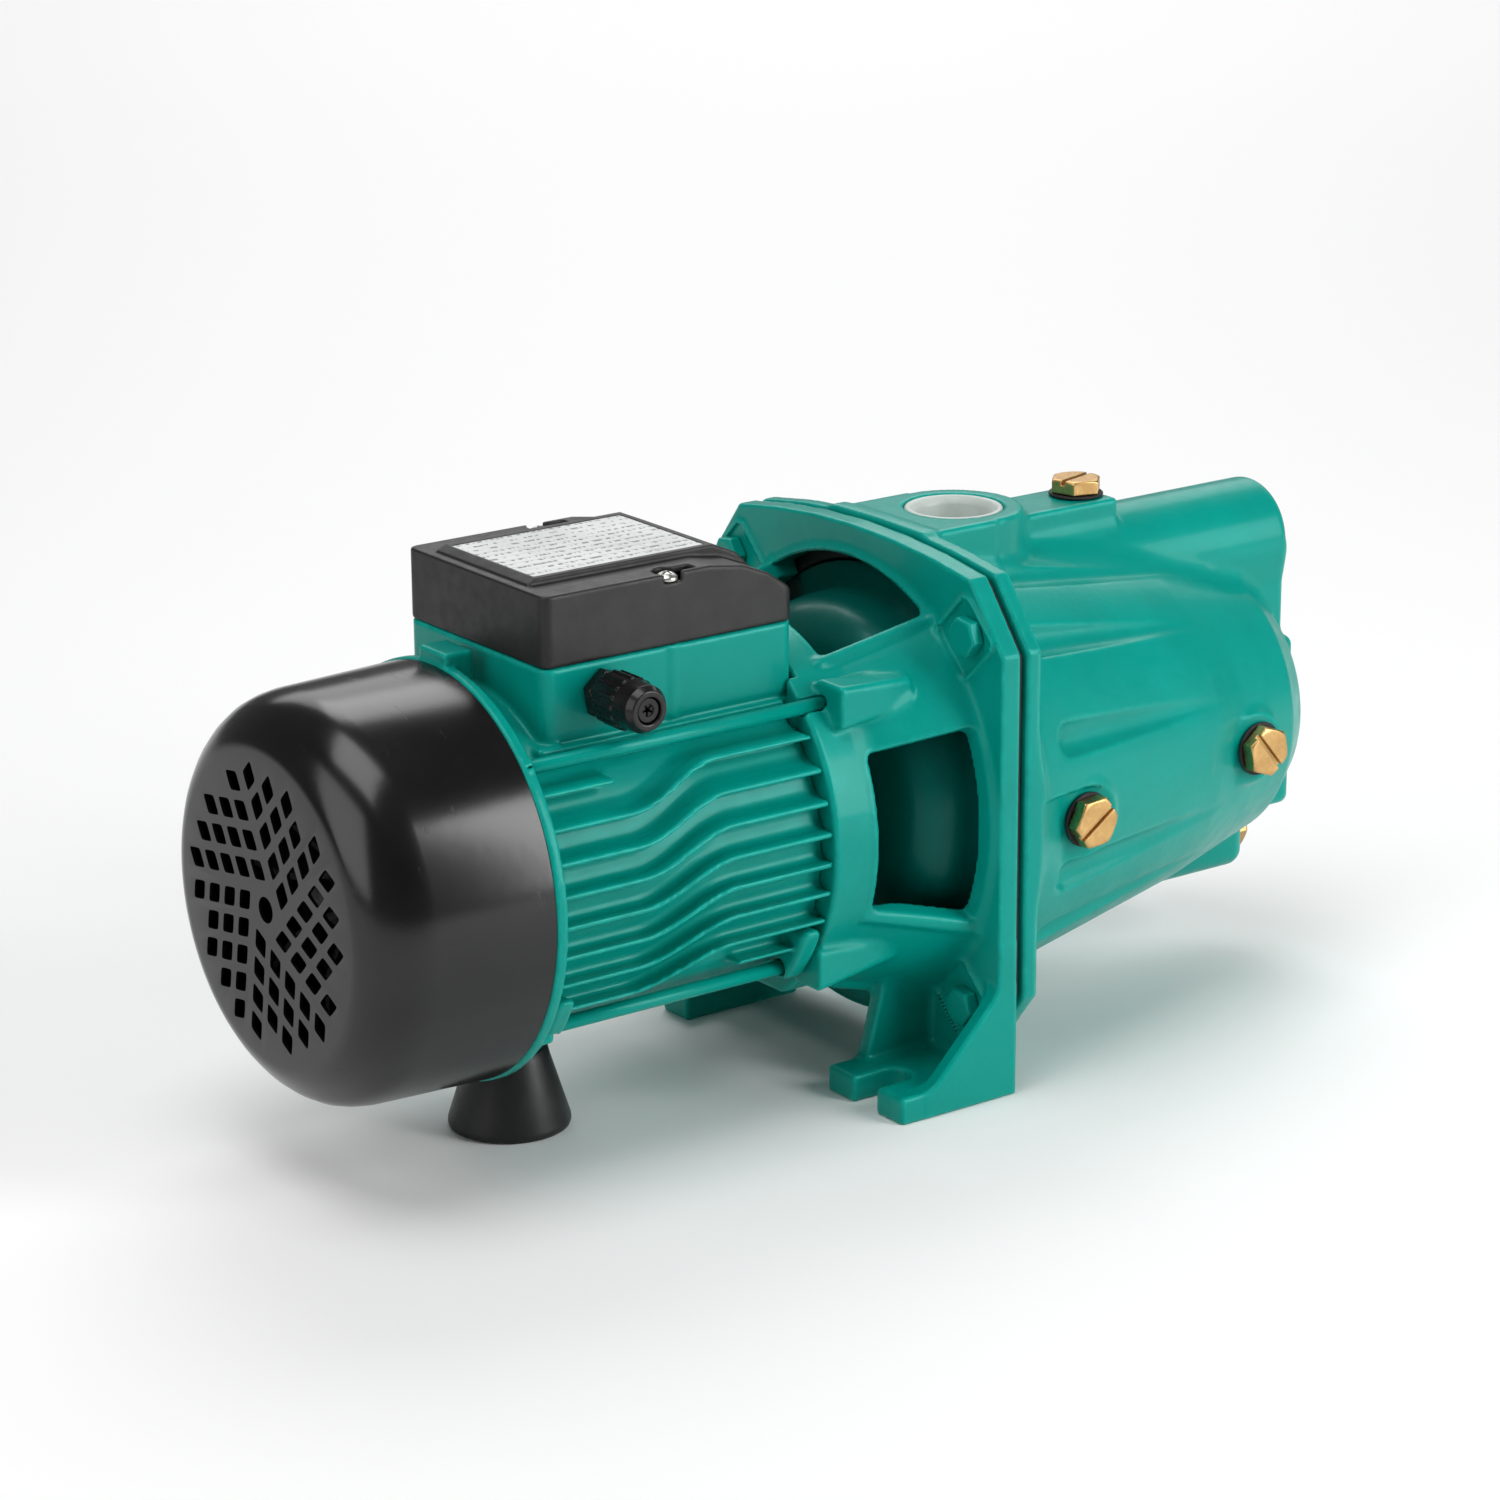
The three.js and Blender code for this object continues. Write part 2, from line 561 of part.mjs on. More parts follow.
function lanternBracket() {
  const seat = FRONT_BEARING.outside + GAP;
  const cone = turnedX([
    [LANTERN_BACK, 54], [LANTERN_BACK, LANTERN_R], [LANTERN_RING, LANTERN_R], [FLANGE_BACK + 1, 86],
    [FLANGE_BACK + 1, 79], [LANTERN_RING, 66], [131, 66], [131, 26], [136, 25], [136, 10],
    [FRONT_BEARING.x + FRONT_BEARING.width + GAP, 10],
    [FRONT_BEARING.x + FRONT_BEARING.width + GAP, seat], [120.8, seat], [120.8, 26], [126, 28],
    [126, 54],
  ]);
  const windows = wasm.Manifold.union([
    wedge(0, WINDOW_SIDE, LANTERN_RING, FLANGE_BACK - 2),
    wedge(180, WINDOW_SIDE, LANTERN_RING, FLANGE_BACK - 2),
    wedge(90, WINDOW_TOP, LANTERN_RING, FLANGE_BACK - 2),
    wedge(270, WINDOW_TOP, LANTERN_RING, FLANGE_BACK - 2),
  ]);
  const opening = turnedX(rod(FLANGE_BACK - EPS, FLANGE_FRONT + EPS, 77));
  const room = turnedX(rod(LANTERN_RING - EPS, FLANGE_FRONT + EPS, 70));
  const flange = prismX(flangeOutline(), FLANGE_BACK, FLANGE_FRONT);
  const lugs = wasm.Manifold.union(Object.values(RODS).map(rodLug));
  const underMotor = box(LANTERN_BACK - EPS, LANTERN_RING + EPS, -LANTERN_R, LANTERN_R, 0, SHAFT_Z - CORE_R);
  let bracket = cone.subtract(windows).subtract(underMotor)
    .add(flange.add(foot(-1)).add(foot(1)).subtract(opening).subtract(room))
    .add(lugs.subtract(turnedX(rod(100, LANTERN_BACK, CORE_R + GAP))).subtract(
      turnedX(rod(LANTERN_BACK - EPS, 160, 66))))
    .subtract(box(110, BOX.front + GAP, -BOX.half - GAP, BOX.half + GAP, BOX.floor - 0.9, 200))
    .subtract(boltHoles(FLANGE_BACK - EPS, FLANGE_FRONT + EPS));
  for (const [y, z] of Object.values(RODS)) {
    const end = z > SHAFT_Z ? ROD_LUG.upper[0] : ROD_LUG.lower[0];
    bracket = bracket.subtract(cylinderX(110, end + 13, ROD_R + 2 * GAP, y, z, FACETS.tiny));
  }
  return bracket;
}

add('lantern_bracket', lanternBracket(), 'green_paint');

// Screws of one kind share a solid, drawn along +Z and turned along the shaft.
const boltLength = CASE_FLANGE - FLANGE_BACK;
const bolt = turnedZ([[-BOLT.head, 0], [-BOLT.head, 5.6], [-BOLT.head + 1, hexRadius(BOLT.flats)],
  [-GAP, hexRadius(BOLT.flats)], [-GAP, 0]], 6).add(turnedZ(rod(-1, boltLength, BOLT.r), FACETS.small));
for (const [level, z] of [['upper', SHAFT_Z + BOLT.z], ['lower', SHAFT_Z - BOLT.z]]) {
  for (const [side, y] of [['near', -BOLT.y], ['far', BOLT.y]]) {
    add(`flange_bolt_${level}_${side}`, bolt, 'green_paint', [FLANGE_BACK, y, z], X);
  }
}

// ---------------------------------------------------------------- seal plate and shaft seal

const PLATE_RIM = [FLANGE_FRONT + GAP, CASE_BACK - GAP];
add('seal_plate', turnedX([
  [160, 17], [160, 50], [163, 61], [170, 68], [PLATE_RIM[0], 69.5], [PLATE_RIM[0], 79],
  [PLATE_RIM[1], 79], [PLATE_RIM[1], 64], [173, 63.4], [168, 57], [165, 48], [165, 17],
]), 'green_paint');
add('flange_gasket', prismX(flangeOutline(2.2), ...PLATE_RIM)
  .subtract(turnedX(rod(180, 200, 79 + GAP)))
  .subtract(boltHoles(180, 200)), 'rubber');
add('seal_seat', turnedX(ring(160.5, 168, 9, 17 - 2 * GAP), FACETS.small), 'ceramic');
add('seal_rotor', turnedX([[168.3, 7.3], [168.3, 12.5], [174, 12.5], [174, 14], [184, 14], [184, 7.3]],
  FACETS.small), 'rubber');

// ---------------------------------------------------------------- rotating pieces

function shaft() {
  const body = turnedX([
    [-50, 0], [-50, 6], [-12, 6], [-12, 7.5], [4, 7.5], [4, 9.5], [118, 9.5], [118, 8.5],
    [135, 8.5], [135, 7], [200, 7], [200, 5], [209, 5], [209, 0],
  ], FACETS.small);
  const keyway = box(187 - GAP, 197 + GAP, -1.8, 1.8, SHAFT_Z + 4.5, SHAFT_Z + 10);
  const clipGroove = turnedX(ring(-45.3, -43.7, 5.2, 8), FACETS.small);
  return body.subtract(keyway).subtract(clipGroove);
}

function coolingFan() {
  const disc = [[-42, 6.3], [-42, 11], [-24, 14], [-24, 58], [-21, 61], [-20, 61], [-20, 14], [-15, 12],
    [-15, 6.3]];
  const blades = [turnedX(disc, FACETS.medium)];
  for (let k = 0; k < 8; k += 1) {
    const blade = prismY([[-24.5, 12], [-38, 14], [-46, 30], [-46, 62], [-23, 60.5]], -1.2, 1.2);
    blades.push(blade.rotate([45 * k, 0, 0]).translate([0, 0, SHAFT_Z]));
  }
  return union(...blades);
}

function impeller() {
  const bladeAngle = 55;
  const parts = [
    turnedX([[184.5, 7.3], [184.5, 14], [186, 14], [186, 58], [188.5, 58], [188.5, 14], [198, 11],
      [198, 7.3]], FACETS.medium),
    turnedX([[196, 21.5], [196, 58], [198.5, 58], [198.5, 24], [203, 23.6], [203, 21.5]],
      FACETS.medium),
  ];
  for (let k = 0; k < 6; k += 1) {
    const line = (offset) => Array.from({ length: 4 }, (_, i) => {
      const r = 16 + (41 * i) / 3;
      const [y, z] = polar(r, 60 * k + (bladeAngle * i) / 3 + (offset * 60) / r);
      return [y, z + SHAFT_Z];
    });
    parts.push(prismX([...line(-1), ...line(1).reverse()], 188, 196.5));
  }
  return union(...parts).subtract(box(180, 205, -1.8, 1.8, SHAFT_Z, SHAFT_Z + 9.4));
}

add('shaft', shaft(), 'steel');
add('rotor_core', turnedX(ring(30, 100, 9.5 + GAP, 29.5)), 'laminate');
add('cooling_fan', coolingFan(), 'black_plastic');
add('fan_clip', turnedX(ring(-45, -44, 5.7, 9), FACETS.tiny), 'steel');
const slingerProfile = [[146, 7.3], [146, 11], [149, 14], [151, 14], [151, 7.3]];
add('slinger_ring', turnedX(slingerProfile, FACETS.small), 'rubber');
add('impeller', impeller(), 'brass');
add('impeller_key', box(187, 197, -1.5, 1.5, SHAFT_Z + 4.9, SHAFT_Z + 9), 'steel');
const nutBore = [[190, 0], [190, 7.3], [200.2, 7.3], [200.2, 5.3], [210, 5.3], [210, 0]];
const nut = turnedX(rod(198.4 + GAP, 206, hexRadius(17)), 6).subtract(turnedX(nutBore, FACETS.small));
add('impeller_nut', nut, 'brass');

// ---------------------------------------------------------------- pump casing

const barrel = (x) => CASE_R - CASE_TAPER * (x - CASE_FLANGE);

function casingBody() {
  const cone = turnedX([
    [CASE_BACK, 0], [CASE_BACK, CASE_R], [CASE_FLANGE, CASE_R], [CASE_EDGE, barrel(CASE_EDGE)],
    [CASE_EDGE + 12, 50], [CASE_FRONT - 2, 40], [CASE_FRONT, 30], [CASE_FRONT, 0],
  ]);
  return union(
    cone,
    prismX(flangeOutline(), CASE_BACK, CASE_FLANGE),
    cylinderX(OUTLET.x, TUBE.front, TUBE.r, 0, TUBE.z, FACETS.large),
    box(338, CASE_FRONT + 2, -20, 20, 120, TUBE.z),
    box(350, TUBE.front, -27, 27, 58, 127),
    box(CASE_BACK, OUTLET.x, -OUTLET.half, OUTLET.half, 150, OUTLET.top),
    cylinderZ(OUTLET.top - 18, OUTLET.top, OUTLET.r, OUTLET.x, 0, FACETS.large),
    box(PRIMING.back, PRIMING.front, -PRIMING.half, PRIMING.half, 150, PRIMING.top),
    prismY([[DRAIN.back, DRAIN.bottom], [DRAIN.front - 8, DRAIN.bottom],
      [DRAIN.front, DRAIN.bottom + 6], [DRAIN.front, 80], [DRAIN.back, 80]], -DRAIN.half, DRAIN.half),
  );
}

function casingCavities() {
  const inner = (x) => barrel(x) - CASE_WALL;
  const cavity = turnedX([
    [CASE_BACK - EPS, 0], [CASE_BACK - EPS, 79], [CASE_FLANGE + 4, 79], [CASE_FLANGE + 8, inner(208)],
    [CASE_EDGE - 4, inner(CASE_EDGE - 4)], [CASE_EDGE + 9, 40], [CASE_EDGE + 9, 0],
  ]);
  const cuts = [
    cavity,
    cylinderX(TUBE.front - 71, TUBE.front + EPS, TUBE.bore, 0, TUBE.z, FACETS.medium),
    cylinderZ(150, OUTLET.top + EPS, OUTLET.bore, OUTLET.x, 0, FACETS.medium),
    cylinderX(TUBE.front - CAP.seat, TUBE.front + EPS, CAP.r + GAP, 0, TUBE.z, FACETS.medium),
    cylinderZ(OUTLET.top - CAP.seat, OUTLET.top + EPS, CAP.r + GAP, OUTLET.x, 0, FACETS.medium),
    cylinderZ(150, PRIMING.top + EPS, PLUG.r + GAP, PRIMING.x, 0),
    cylinderX(334, DRAIN.front + EPS, PLUG.r + GAP, 0, DRAIN.z),
    cylinderZ(DRAIN.z, 66, 5, 340, 0),
    boltHoles(CASE_BACK - EPS, CASE_FLANGE + EPS),
  ];
  for (const [x, y, z] of Object.values(SIDE_PLUGS)) {
    cuts.push(cylinderY(y - 15, y, 12, x, z, FACETS.medium));
    cuts.push(cylinderY(y - EPS, y + 16, PLUG.r + GAP, x, z));
  }
  return wasm.Manifold.union(cuts);
}

add('pump_casing', casingBody().subtract(casingCavities()), 'green_paint');

// ---------------------------------------------------------------- diffuser and ejector

add('diffuser', turnedX([
  [176, 59.3], [176, 62.4], [199.8, 62.4], [199.8, 72], [204, 72], [204, 29], [222, 22], [222, 18.5],
  [206, 24.6], [199.8, 24.6], [199.8, 59.3],
]), 'white_plastic');
add('venturi_tube', turnedX([
  [222 + GAP, 12], [222 + GAP, 18], [228, 18], [240, 12], [318, 9], [334, 9], [334, 6], [250, 5],
  [232, 8],
], FACETS.small), 'white_plastic');
add('ejector_nozzle', turnedX([[334 + GAP, 3.2], [334 + GAP, 6], [346, 12], [CASE_EDGE + 9 - GAP, 14],
  [CASE_EDGE + 9 - GAP, 10], [348, 8]], FACETS.small), 'brass');

// ---------------------------------------------------------------- plugs, washers and port caps

// Drawn along +Z with the sealing face at zero, then turned to the way the plug comes out.
function plugSolid() {
  const { r, length, flats, head, washer } = PLUG;
  const seat = washer + 2 * GAP;
  const across = hexRadius(flats);
  const hex = turnedZ([[seat, 0], [seat, across], [seat + head - 1, across], [seat + head, across - 1.4],
    [seat + head, 0]], 6);
  const slot = box(-12, 12, -0.9, 0.9, seat + head - 1.8, seat + head + EPS);
  return hex.add(turnedZ(rod(-length, seat + 1, r), FACETS.small)).subtract(slot);
}

const plug = plugSolid();
const washer = turnedZ(ring(GAP, GAP + PLUG.washer, PLUG.r + GAP, 10.4), FACETS.small);
const PLUG_PLACES = {
  priming: [[PRIMING.x, 0, PRIMING.top], Z],
  side_rear: [SIDE_PLUGS.rear, DOWN_Y],
  side_front: [SIDE_PLUGS.front, DOWN_Y],
  drain: [[DRAIN.front, 0, DRAIN.z], X],
};
for (const [name, [place, direction]] of Object.entries(PLUG_PLACES)) {
  add(`${name}_plug`, plug.rotate([0, 0, PLUG_ROLL[name]]), 'brass', place, direction);
  add(`${name}_washer`, washer, 'rubber', place, direction);
}

// A cap's flange lies in a shallow seat, so that the port's face stands clear round it.
const capSolid = turnedZ([
  [-CAP.depth, 0], [-CAP.depth, CAP.sleeve], [GAP, CAP.sleeve], [GAP, CAP.r],
  [GAP + CAP.flange, CAP.r - 0.5], [GAP + CAP.flange, CAP.cup], [CAP.floor - CAP.depth, CAP.cup - 0.4],
  [CAP.floor - CAP.depth, 0],
]);
add('discharge_cap', capSolid, 'white_plastic', [OUTLET.x, 0, OUTLET.top - CAP.seat], Z);
add('suction_cap', capSolid, 'white_plastic', [TUBE.front - CAP.seat, 0, TUBE.z], X);

export default pump;
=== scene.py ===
"""Self-priming centrifugal water pump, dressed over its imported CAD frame.

Shapes are in millimetres until in_metres(). x is the CAD's station along the shaft, 0 at the
rim of the fan cover, and z is up from the floor. Castings are signed-distance fields, which join
with cast fillets and then become meshes. Both sides mirror each other, so most fields take |y|.
"""

import json
import math

import bpy
import numpy as np
from mathutils import Matrix, Vector


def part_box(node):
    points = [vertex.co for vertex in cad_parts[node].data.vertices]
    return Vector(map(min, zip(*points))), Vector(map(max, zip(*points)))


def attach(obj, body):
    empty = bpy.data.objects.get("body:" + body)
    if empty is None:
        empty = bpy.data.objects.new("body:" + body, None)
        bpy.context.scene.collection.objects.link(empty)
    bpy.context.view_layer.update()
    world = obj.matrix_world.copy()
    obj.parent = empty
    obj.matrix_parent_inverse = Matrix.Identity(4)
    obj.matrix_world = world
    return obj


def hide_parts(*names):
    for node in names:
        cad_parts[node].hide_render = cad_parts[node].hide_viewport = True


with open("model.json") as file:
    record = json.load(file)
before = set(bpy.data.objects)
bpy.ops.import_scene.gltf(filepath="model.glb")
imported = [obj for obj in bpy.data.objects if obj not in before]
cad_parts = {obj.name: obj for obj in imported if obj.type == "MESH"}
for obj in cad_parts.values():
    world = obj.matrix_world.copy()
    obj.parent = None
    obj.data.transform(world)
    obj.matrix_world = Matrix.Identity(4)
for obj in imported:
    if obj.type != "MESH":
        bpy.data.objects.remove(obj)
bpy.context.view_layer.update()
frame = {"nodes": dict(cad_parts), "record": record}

# ---- driving dimensions, mm

COVER_BACK = -69.0
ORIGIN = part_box("fan_cover")[0].x * 1000 - COVER_BACK  # row-frame x of station 0
H = 101.5  # height of the shaft's axis
PAST = 9.0  # how far a cut runs past the surface it opens
BEYOND = -20.0  # closes an outline of radii on the far side of the axis

# motor housing
CORE_R = 61.0
HOUSING = (4.8, 119.7)
BARREL_R = 64.8  # between the motor's fins
STATOR_R = 54.3
FIN = {"r": 72.0, "pitch": 11.1, "count": 7, "top": 131.5, "thick": 1.5, "bend": (38.0, 80.0)}
FIN_DRAFT = 0.05  # half a fin's thickening per mm of depth
FIN_SLOPE = 0.92  # how much the bend narrows the gap between fins
STUBS = [(142.5, HOUSING[0], 36.0), (66.5, 84.0, HOUSING[1])]  # height, and where it starts and ends
BOX = {"back": 18.0, "front": 124.0, "half": 42.9, "floor": 153.8, "rim": 180.6, "corner": 4.5}
BOX_WALL = 4.0
LEDGE = {"half": 45.4, "bottom": 143.8}
LID_SCREW = (72.0, 39.0)
SCREW_POST_R = 4.2
SCREW_HOLE_R = 2.1
GLAND = (42.5, 168.8)
GLAND_HOLE_R = 6.8
FOOT = {"x": 28.0, "boss": (30.6, 48.0), "boss_r": 12.0, "screw_r": 3.4}
WIRE_HOLE = (104.0, 6.0)  # station and radius
RODS = [(-52.0, H + 49.8), (52.0, H + 49.8), (-53.0, H - 44.8), (53.0, H - 44.8)]
ROD_R = 2.6
UPPER_LUG = (129.0, 158.0)
LOWER_LUG = (118.0, 150.0)
LUG_SIZE = 8.0  # half of the lug's height where the rod enters it

# rear endshield and terminal lid
SHIELD = {"rim": (0.3, 4.5), "rim_r": 76.0, "spigot_r": 73.0, "hub": (-12.0, 24.0), "ribs": 8}
LID = {"shelf": 206.5, "crown": 209.0}
LABEL = {"x": (26.3, 97.7), "y": (-25.2, 26.2)}

# lantern
RING = (120.0, 139.0)
RING_R = 73.0
CONE_END = (183.5, 86.4)  # station and radius
FLANGE = (182.0, 190.7)
FLANGE_HALF = 88.7
AHEAD_OF = 199.0  # a station past the front of the lantern
HOLLOW = {"back": 131.0, "r": 66.0, "mouth": 79.0}
WINDOW = {"span": (139.0, 180.0), "corner": 3.0, "depth_r": 45.0}
SIDE_WINDOW = {"top": 26.5, "low": -20.0, "slope": -0.12}  # degrees up from the side, and per mm
TOP_WINDOW = 32.0  # half angle
LIP = {"back": (137, 72, 2.4), "front": (184, 85.4, 2.2)}  # station, radius of its line, own radius
LIP_TURNS = (-22.2, -27.6)  # below the side window, at the back and the front
ARCH_R = 84.5
BELLY_R = 90.0  # the lantern's flange between its feet
BOLT = (71.0, 70.0)
BOLT_HOLE_R = 4.3
POCKET = {"y": 68.0, "h": 68.4, "half": 10.8, "rim": 1.3}
FEET = {"inner": 44.0, "toe": 138.0, "thick": 10.0, "slot": (151.5, 66.5, 6.5), "rib": 6.0, "leg": 60.0}
BEARING = {"hub": (120.8, 136.0), "hub_r": 25.0, "seat": 133.3, "seat_r": 20.3, "hole_r": 10.0}

# casing
CASE_BACK = 193.3
CASE_FLANGE = 200.0
CASE_R = 88.6
CASE_TAPER = 0.19
CASE_NOSE = (306.0, 3.5)  # where the barrel starts to narrow faster, and by how much at its edge
CASE_EDGE = 354.0
CASE_BEVEL = 12.0
CASE_FRONT = 374.5
CASE_WALL = 7.0
CAVITY_BACK = 208.0  # the station where the hollow reaches its full width
FLUTE_TURNS = [66, 44, 18, -18, -38, -62]  # directions round the barrel, degrees up from the side
FLUTE_ENDS = ((222, 8, 4.2), (312, 5.5, -0.2))  # station, radius of the cutting bar, depth
TUBE = {"z": 163.5, "r": 22.0, "front": 381.0, "bore": 16.0}
OUTLET = {"x": 230.5, "r": 26.0, "half": 27.0, "top": 197.0, "bore": 15.4}
PRIMING = {"x": 290.0, "half": 13.0, "span": (226.0, 300.0), "top": 192.0}
DRAIN = {"z": 43.5, "half": 17.0, "span": (290.0, 368.0), "bottom": 32.0}
NECKS = (  # spans, rounding of the edges, fillet
    (((338, TUBE["front"]), (-20, 20), (110, TUBE["z"])), 3, 4),
    (((350, TUBE["front"]), (-27, 27), (58, 127)), 4, 3),
)
SIDE_PLUGS = [(228.0, -81.3, 96.3), (327.8, -64.4, 100.2)]
PLUG_BORE = 6.6
PLUG_BOSS_R = 13.5
PLUG_FACE_R = 12.5
PLUG_RAMP = {"back": 26, "flat": 11, "low": 30}  # the milled ramp behind and below a side plug
CAP_SEAT = (18.8, 2.2)  # radius and depth of the seat round each port

# ---- signed-distance fields
# A field takes arrays of x, y and z and is negative inside the solid.


def length(*parts):
    return np.sqrt(sum(part * part for part in parts))


def joined(a, b, r):
    """Both solids, with a concave fillet of radius r where they meet."""
    return np.maximum(r, np.minimum(a, b)) - length(np.maximum(r - a, 0), np.maximum(r - b, 0))


def common(a, b, r):
    """What two solids share, with the edge this leaves rounded to radius r."""
    return np.minimum(-r, np.maximum(a, b)) + length(np.maximum(r + a, 0), np.maximum(r + b, 0))


def less(a, b, r):
    """The first solid without the second, with the edge this leaves rounded."""
    return common(a, -b, r)


def block(p, spans, r=0.0):
    """A box between the low and high of each span, with rounded edges."""
    q = [np.abs(v - (lo + hi) / 2) - (hi - lo) / 2 + r for v, (lo, hi) in zip(p, spans)]
    outside = length(*(np.maximum(v, 0) for v in q))
    return outside + np.minimum(np.maximum(np.maximum(q[0], q[1]), q[2]), 0) - r


def rounded_plan(p, spans, corner):
    """An upright box of any height between spans of x and y, with rounded corners."""
    q = [np.abs(v - (lo + hi) / 2) - (hi - lo) / 2 + corner for v, (lo, hi) in zip(p, spans)]
    return length(*(np.maximum(v, 0) for v in q)) + np.minimum(np.maximum(*q), 0) - corner


def rod(p, axis, centre, radius, span, r=0.0):
    """A cylinder along axis 0, 1 or 2 through centre, which gives the other two in order."""
    u, v = (p[k] for k in range(3) if k != axis)
    side = length(u - centre[0], v - centre[1]) - radius + r
    cap = np.abs(p[axis] - (span[0] + span[1]) / 2) - (span[1] - span[0]) / 2 + r
    return length(np.maximum(side, 0), np.maximum(cap, 0)) + np.minimum(np.maximum(side, cap), 0) - r


def bar(p, start, end, r0, r1):
    """A round bar between two points, whose radius goes evenly from r0 to r1."""
    axis = [b - a for a, b in zip(start, end)]
    size = sum(a * a for a in axis)
    t = sum((v - s) * a for v, s, a in zip(p, start, axis)) / size
    t = np.clip(t, 0, 1)
    return length(*(v - s - a * t for v, s, a in zip(p, start, axis))) - (r0 + (r1 - r0) * t)


def hull(u, v, points):
    """The convex outline through points, given anticlockwise."""
    worst = None
    for (u0, v0), (u1, v1) in zip(points, points[1:] + points[:1]):
        run = math.hypot(u1 - u0, v1 - v0)
        side = ((u - u0) * (v1 - v0) - (v - v0) * (u1 - u0)) / run
        worst = side if worst is None else np.maximum(worst, side)
    return worst


def slab(v, low, high):
    return np.maximum(low - v, v - high)


def polar(radius, degrees):
    return radius * math.cos(math.radians(degrees)), radius * math.sin(math.radians(degrees))


both, either = np.maximum, np.minimum  # what two solids share, and two solids, with sharp edges


# ---- from field to mesh

CELLS = 8  # samples along one side of a block


def grid(counts):
    """Every index of a grid, one to a row."""
    return np.stack(np.meshgrid(*(np.arange(n) for n in counts), indexing="ij"), -1).reshape(-1, 3)


CORNERS = grid((2, 2, 2))
EDGES = [(a, b) for a in range(8) for b in range(a + 1, 8) if np.abs(CORNERS[a] - CORNERS[b]).sum() == 1]


def sample(field, low, counts, step):
    """The field on a grid. Blocks that the surface can't cross get only their sign."""
    side = CELLS * step
    index = grid(counts)
    centre = field(tuple((low + (index + 0.5) * side).T))
    near = np.abs(centre) < side * math.sqrt(3) / 2 + 2 * step
    blocks = np.repeat(np.where(centre < 0, -1e3, 1e3).astype(np.float32), CELLS**3)
    blocks = blocks.reshape(-1, CELLS, CELLS, CELLS)
    points = low + (index[near][:, None, :] * CELLS + grid([CELLS] * 3)) * step
    points = points.reshape(-1, 3).astype(np.float32)
    blocks[near] = field(tuple(points.T)).reshape(-1, CELLS, CELLS, CELLS)
    blocks = blocks.reshape(*counts, CELLS, CELLS, CELLS).transpose(0, 3, 1, 4, 2, 5)
    return blocks.reshape(*(n * CELLS for n in counts))


def relaxed(points, quads):
    """Points moved halfway to the middle of their neighbours, which untangles small faces."""
    start, end = quads.ravel(), np.roll(quads, -1, 1).ravel()
    count = np.bincount(start, minlength=len(points)) + np.bincount(end, minlength=len(points))
    middle = np.stack([
        np.bincount(start, points[end, k], len(points)) + np.bincount(end, points[start, k], len(points))
        for k in range(3)
    ], 1) / np.maximum(count, 1)[:, None]
    return np.where(count[:, None] > 0, (points + middle) / 2, points)


def settle(field, points, step):
    """Moves points onto the surface along the field's gradient."""
    nudge = 0.2 * step
    for _ in range(2):
        here = field(tuple(points.T))
        slope = np.stack(
            [field(tuple((points + nudge * unit).T)) - here for unit in np.eye(3)], -1
        ) / nudge
        size = np.maximum((slope**2).sum(1), 0.2)
        points = points - slope * np.clip(here / size, -0.6 * step, 0.6 * step)[:, None]
    return points


def surface(field, spans, step):
    """The points and quads of the surface of a field inside spans of x, y and z."""
    low = np.array([lo for lo, _ in spans], float) - 2 * step
    reach = np.array([hi for _, hi in spans], float) + 2 * step - low
    values = sample(field, low, np.ceil(reach / (CELLS * step)).astype(int), step)
    inside = values < 0
    cut = [slice(None, -1), slice(1, None)]
    total = sum(inside[cut[i], cut[j], cut[k]].astype(np.int8) for i, j, k in CORNERS)
    cells = np.argwhere((total > 0) & (total < 8))
    number = np.full(total.shape, -1, np.int64)
    number[tuple(cells.T)] = np.arange(len(cells))
    corner = np.stack([values[tuple((cells + c).T)] for c in CORNERS], 1).astype(float)
    place, hits = np.zeros((len(cells), 3)), np.zeros((len(cells), 1))
    for a, b in EDGES:
        va, vb = corner[:, a], corner[:, b]
        crossed = (va < 0) != (vb < 0)
        t = np.where(crossed, va / np.where(crossed, va - vb, 1), 0)[:, None]
        place += np.where(crossed[:, None], CORNERS[a] + t * (CORNERS[b] - CORNERS[a]), 0)
        hits += crossed[:, None]
    points = low + (cells + place / hits) * step
    quads = []
    for axis in range(3):
        ahead = np.moveaxis(inside, axis, 0)
        flips = np.argwhere(ahead[1:, 1:, 1:] != ahead[:-1, 1:, 1:]) + (0, 1, 1)
        entering = ahead[tuple(flips.T)]
        ring = []
        for du, dv in ((0, 0), (-1, 0), (-1, -1), (0, -1)):
            cell = flips + (0, du, dv)
            ring.append(np.moveaxis(number, axis, 0)[tuple(cell.T)])
        ring = np.stack(ring, 1)
        turn = entering if axis != 1 else ~entering
        ring[~turn] = ring[~turn][:, ::-1]
        quads.append(ring)
    quads = np.concatenate(quads)
    for _ in range(2):
        points = settle(field, relaxed(points, quads), step)
    return points, quads


# ---- castings as fields

FLANGE_OUTLINE = [
    (-5, -5), (FLANGE_HALF, -5), (FLANGE_HALF, 64.8), (69.3, 89.9), (46, 93.5), (23, 95.6), (0, 96.3),
    (-5, 96.3),
]


def flange(x, ay, ah, span, inset=0.0):
    """A slab of the eight-sided flange that the lantern and the casing share."""
    return common(hull(ay, ah, FLANGE_OUTLINE) + inset, slab(x, *span), 1.1)


def bolt_holes(p, ah):
    return length(np.abs(p[1]) - BOLT[0], ah - BOLT[1]) - BOLT_HOLE_R


def barrel_r(x):
    return CASE_R - CASE_TAPER * (x - CASE_FLANGE)


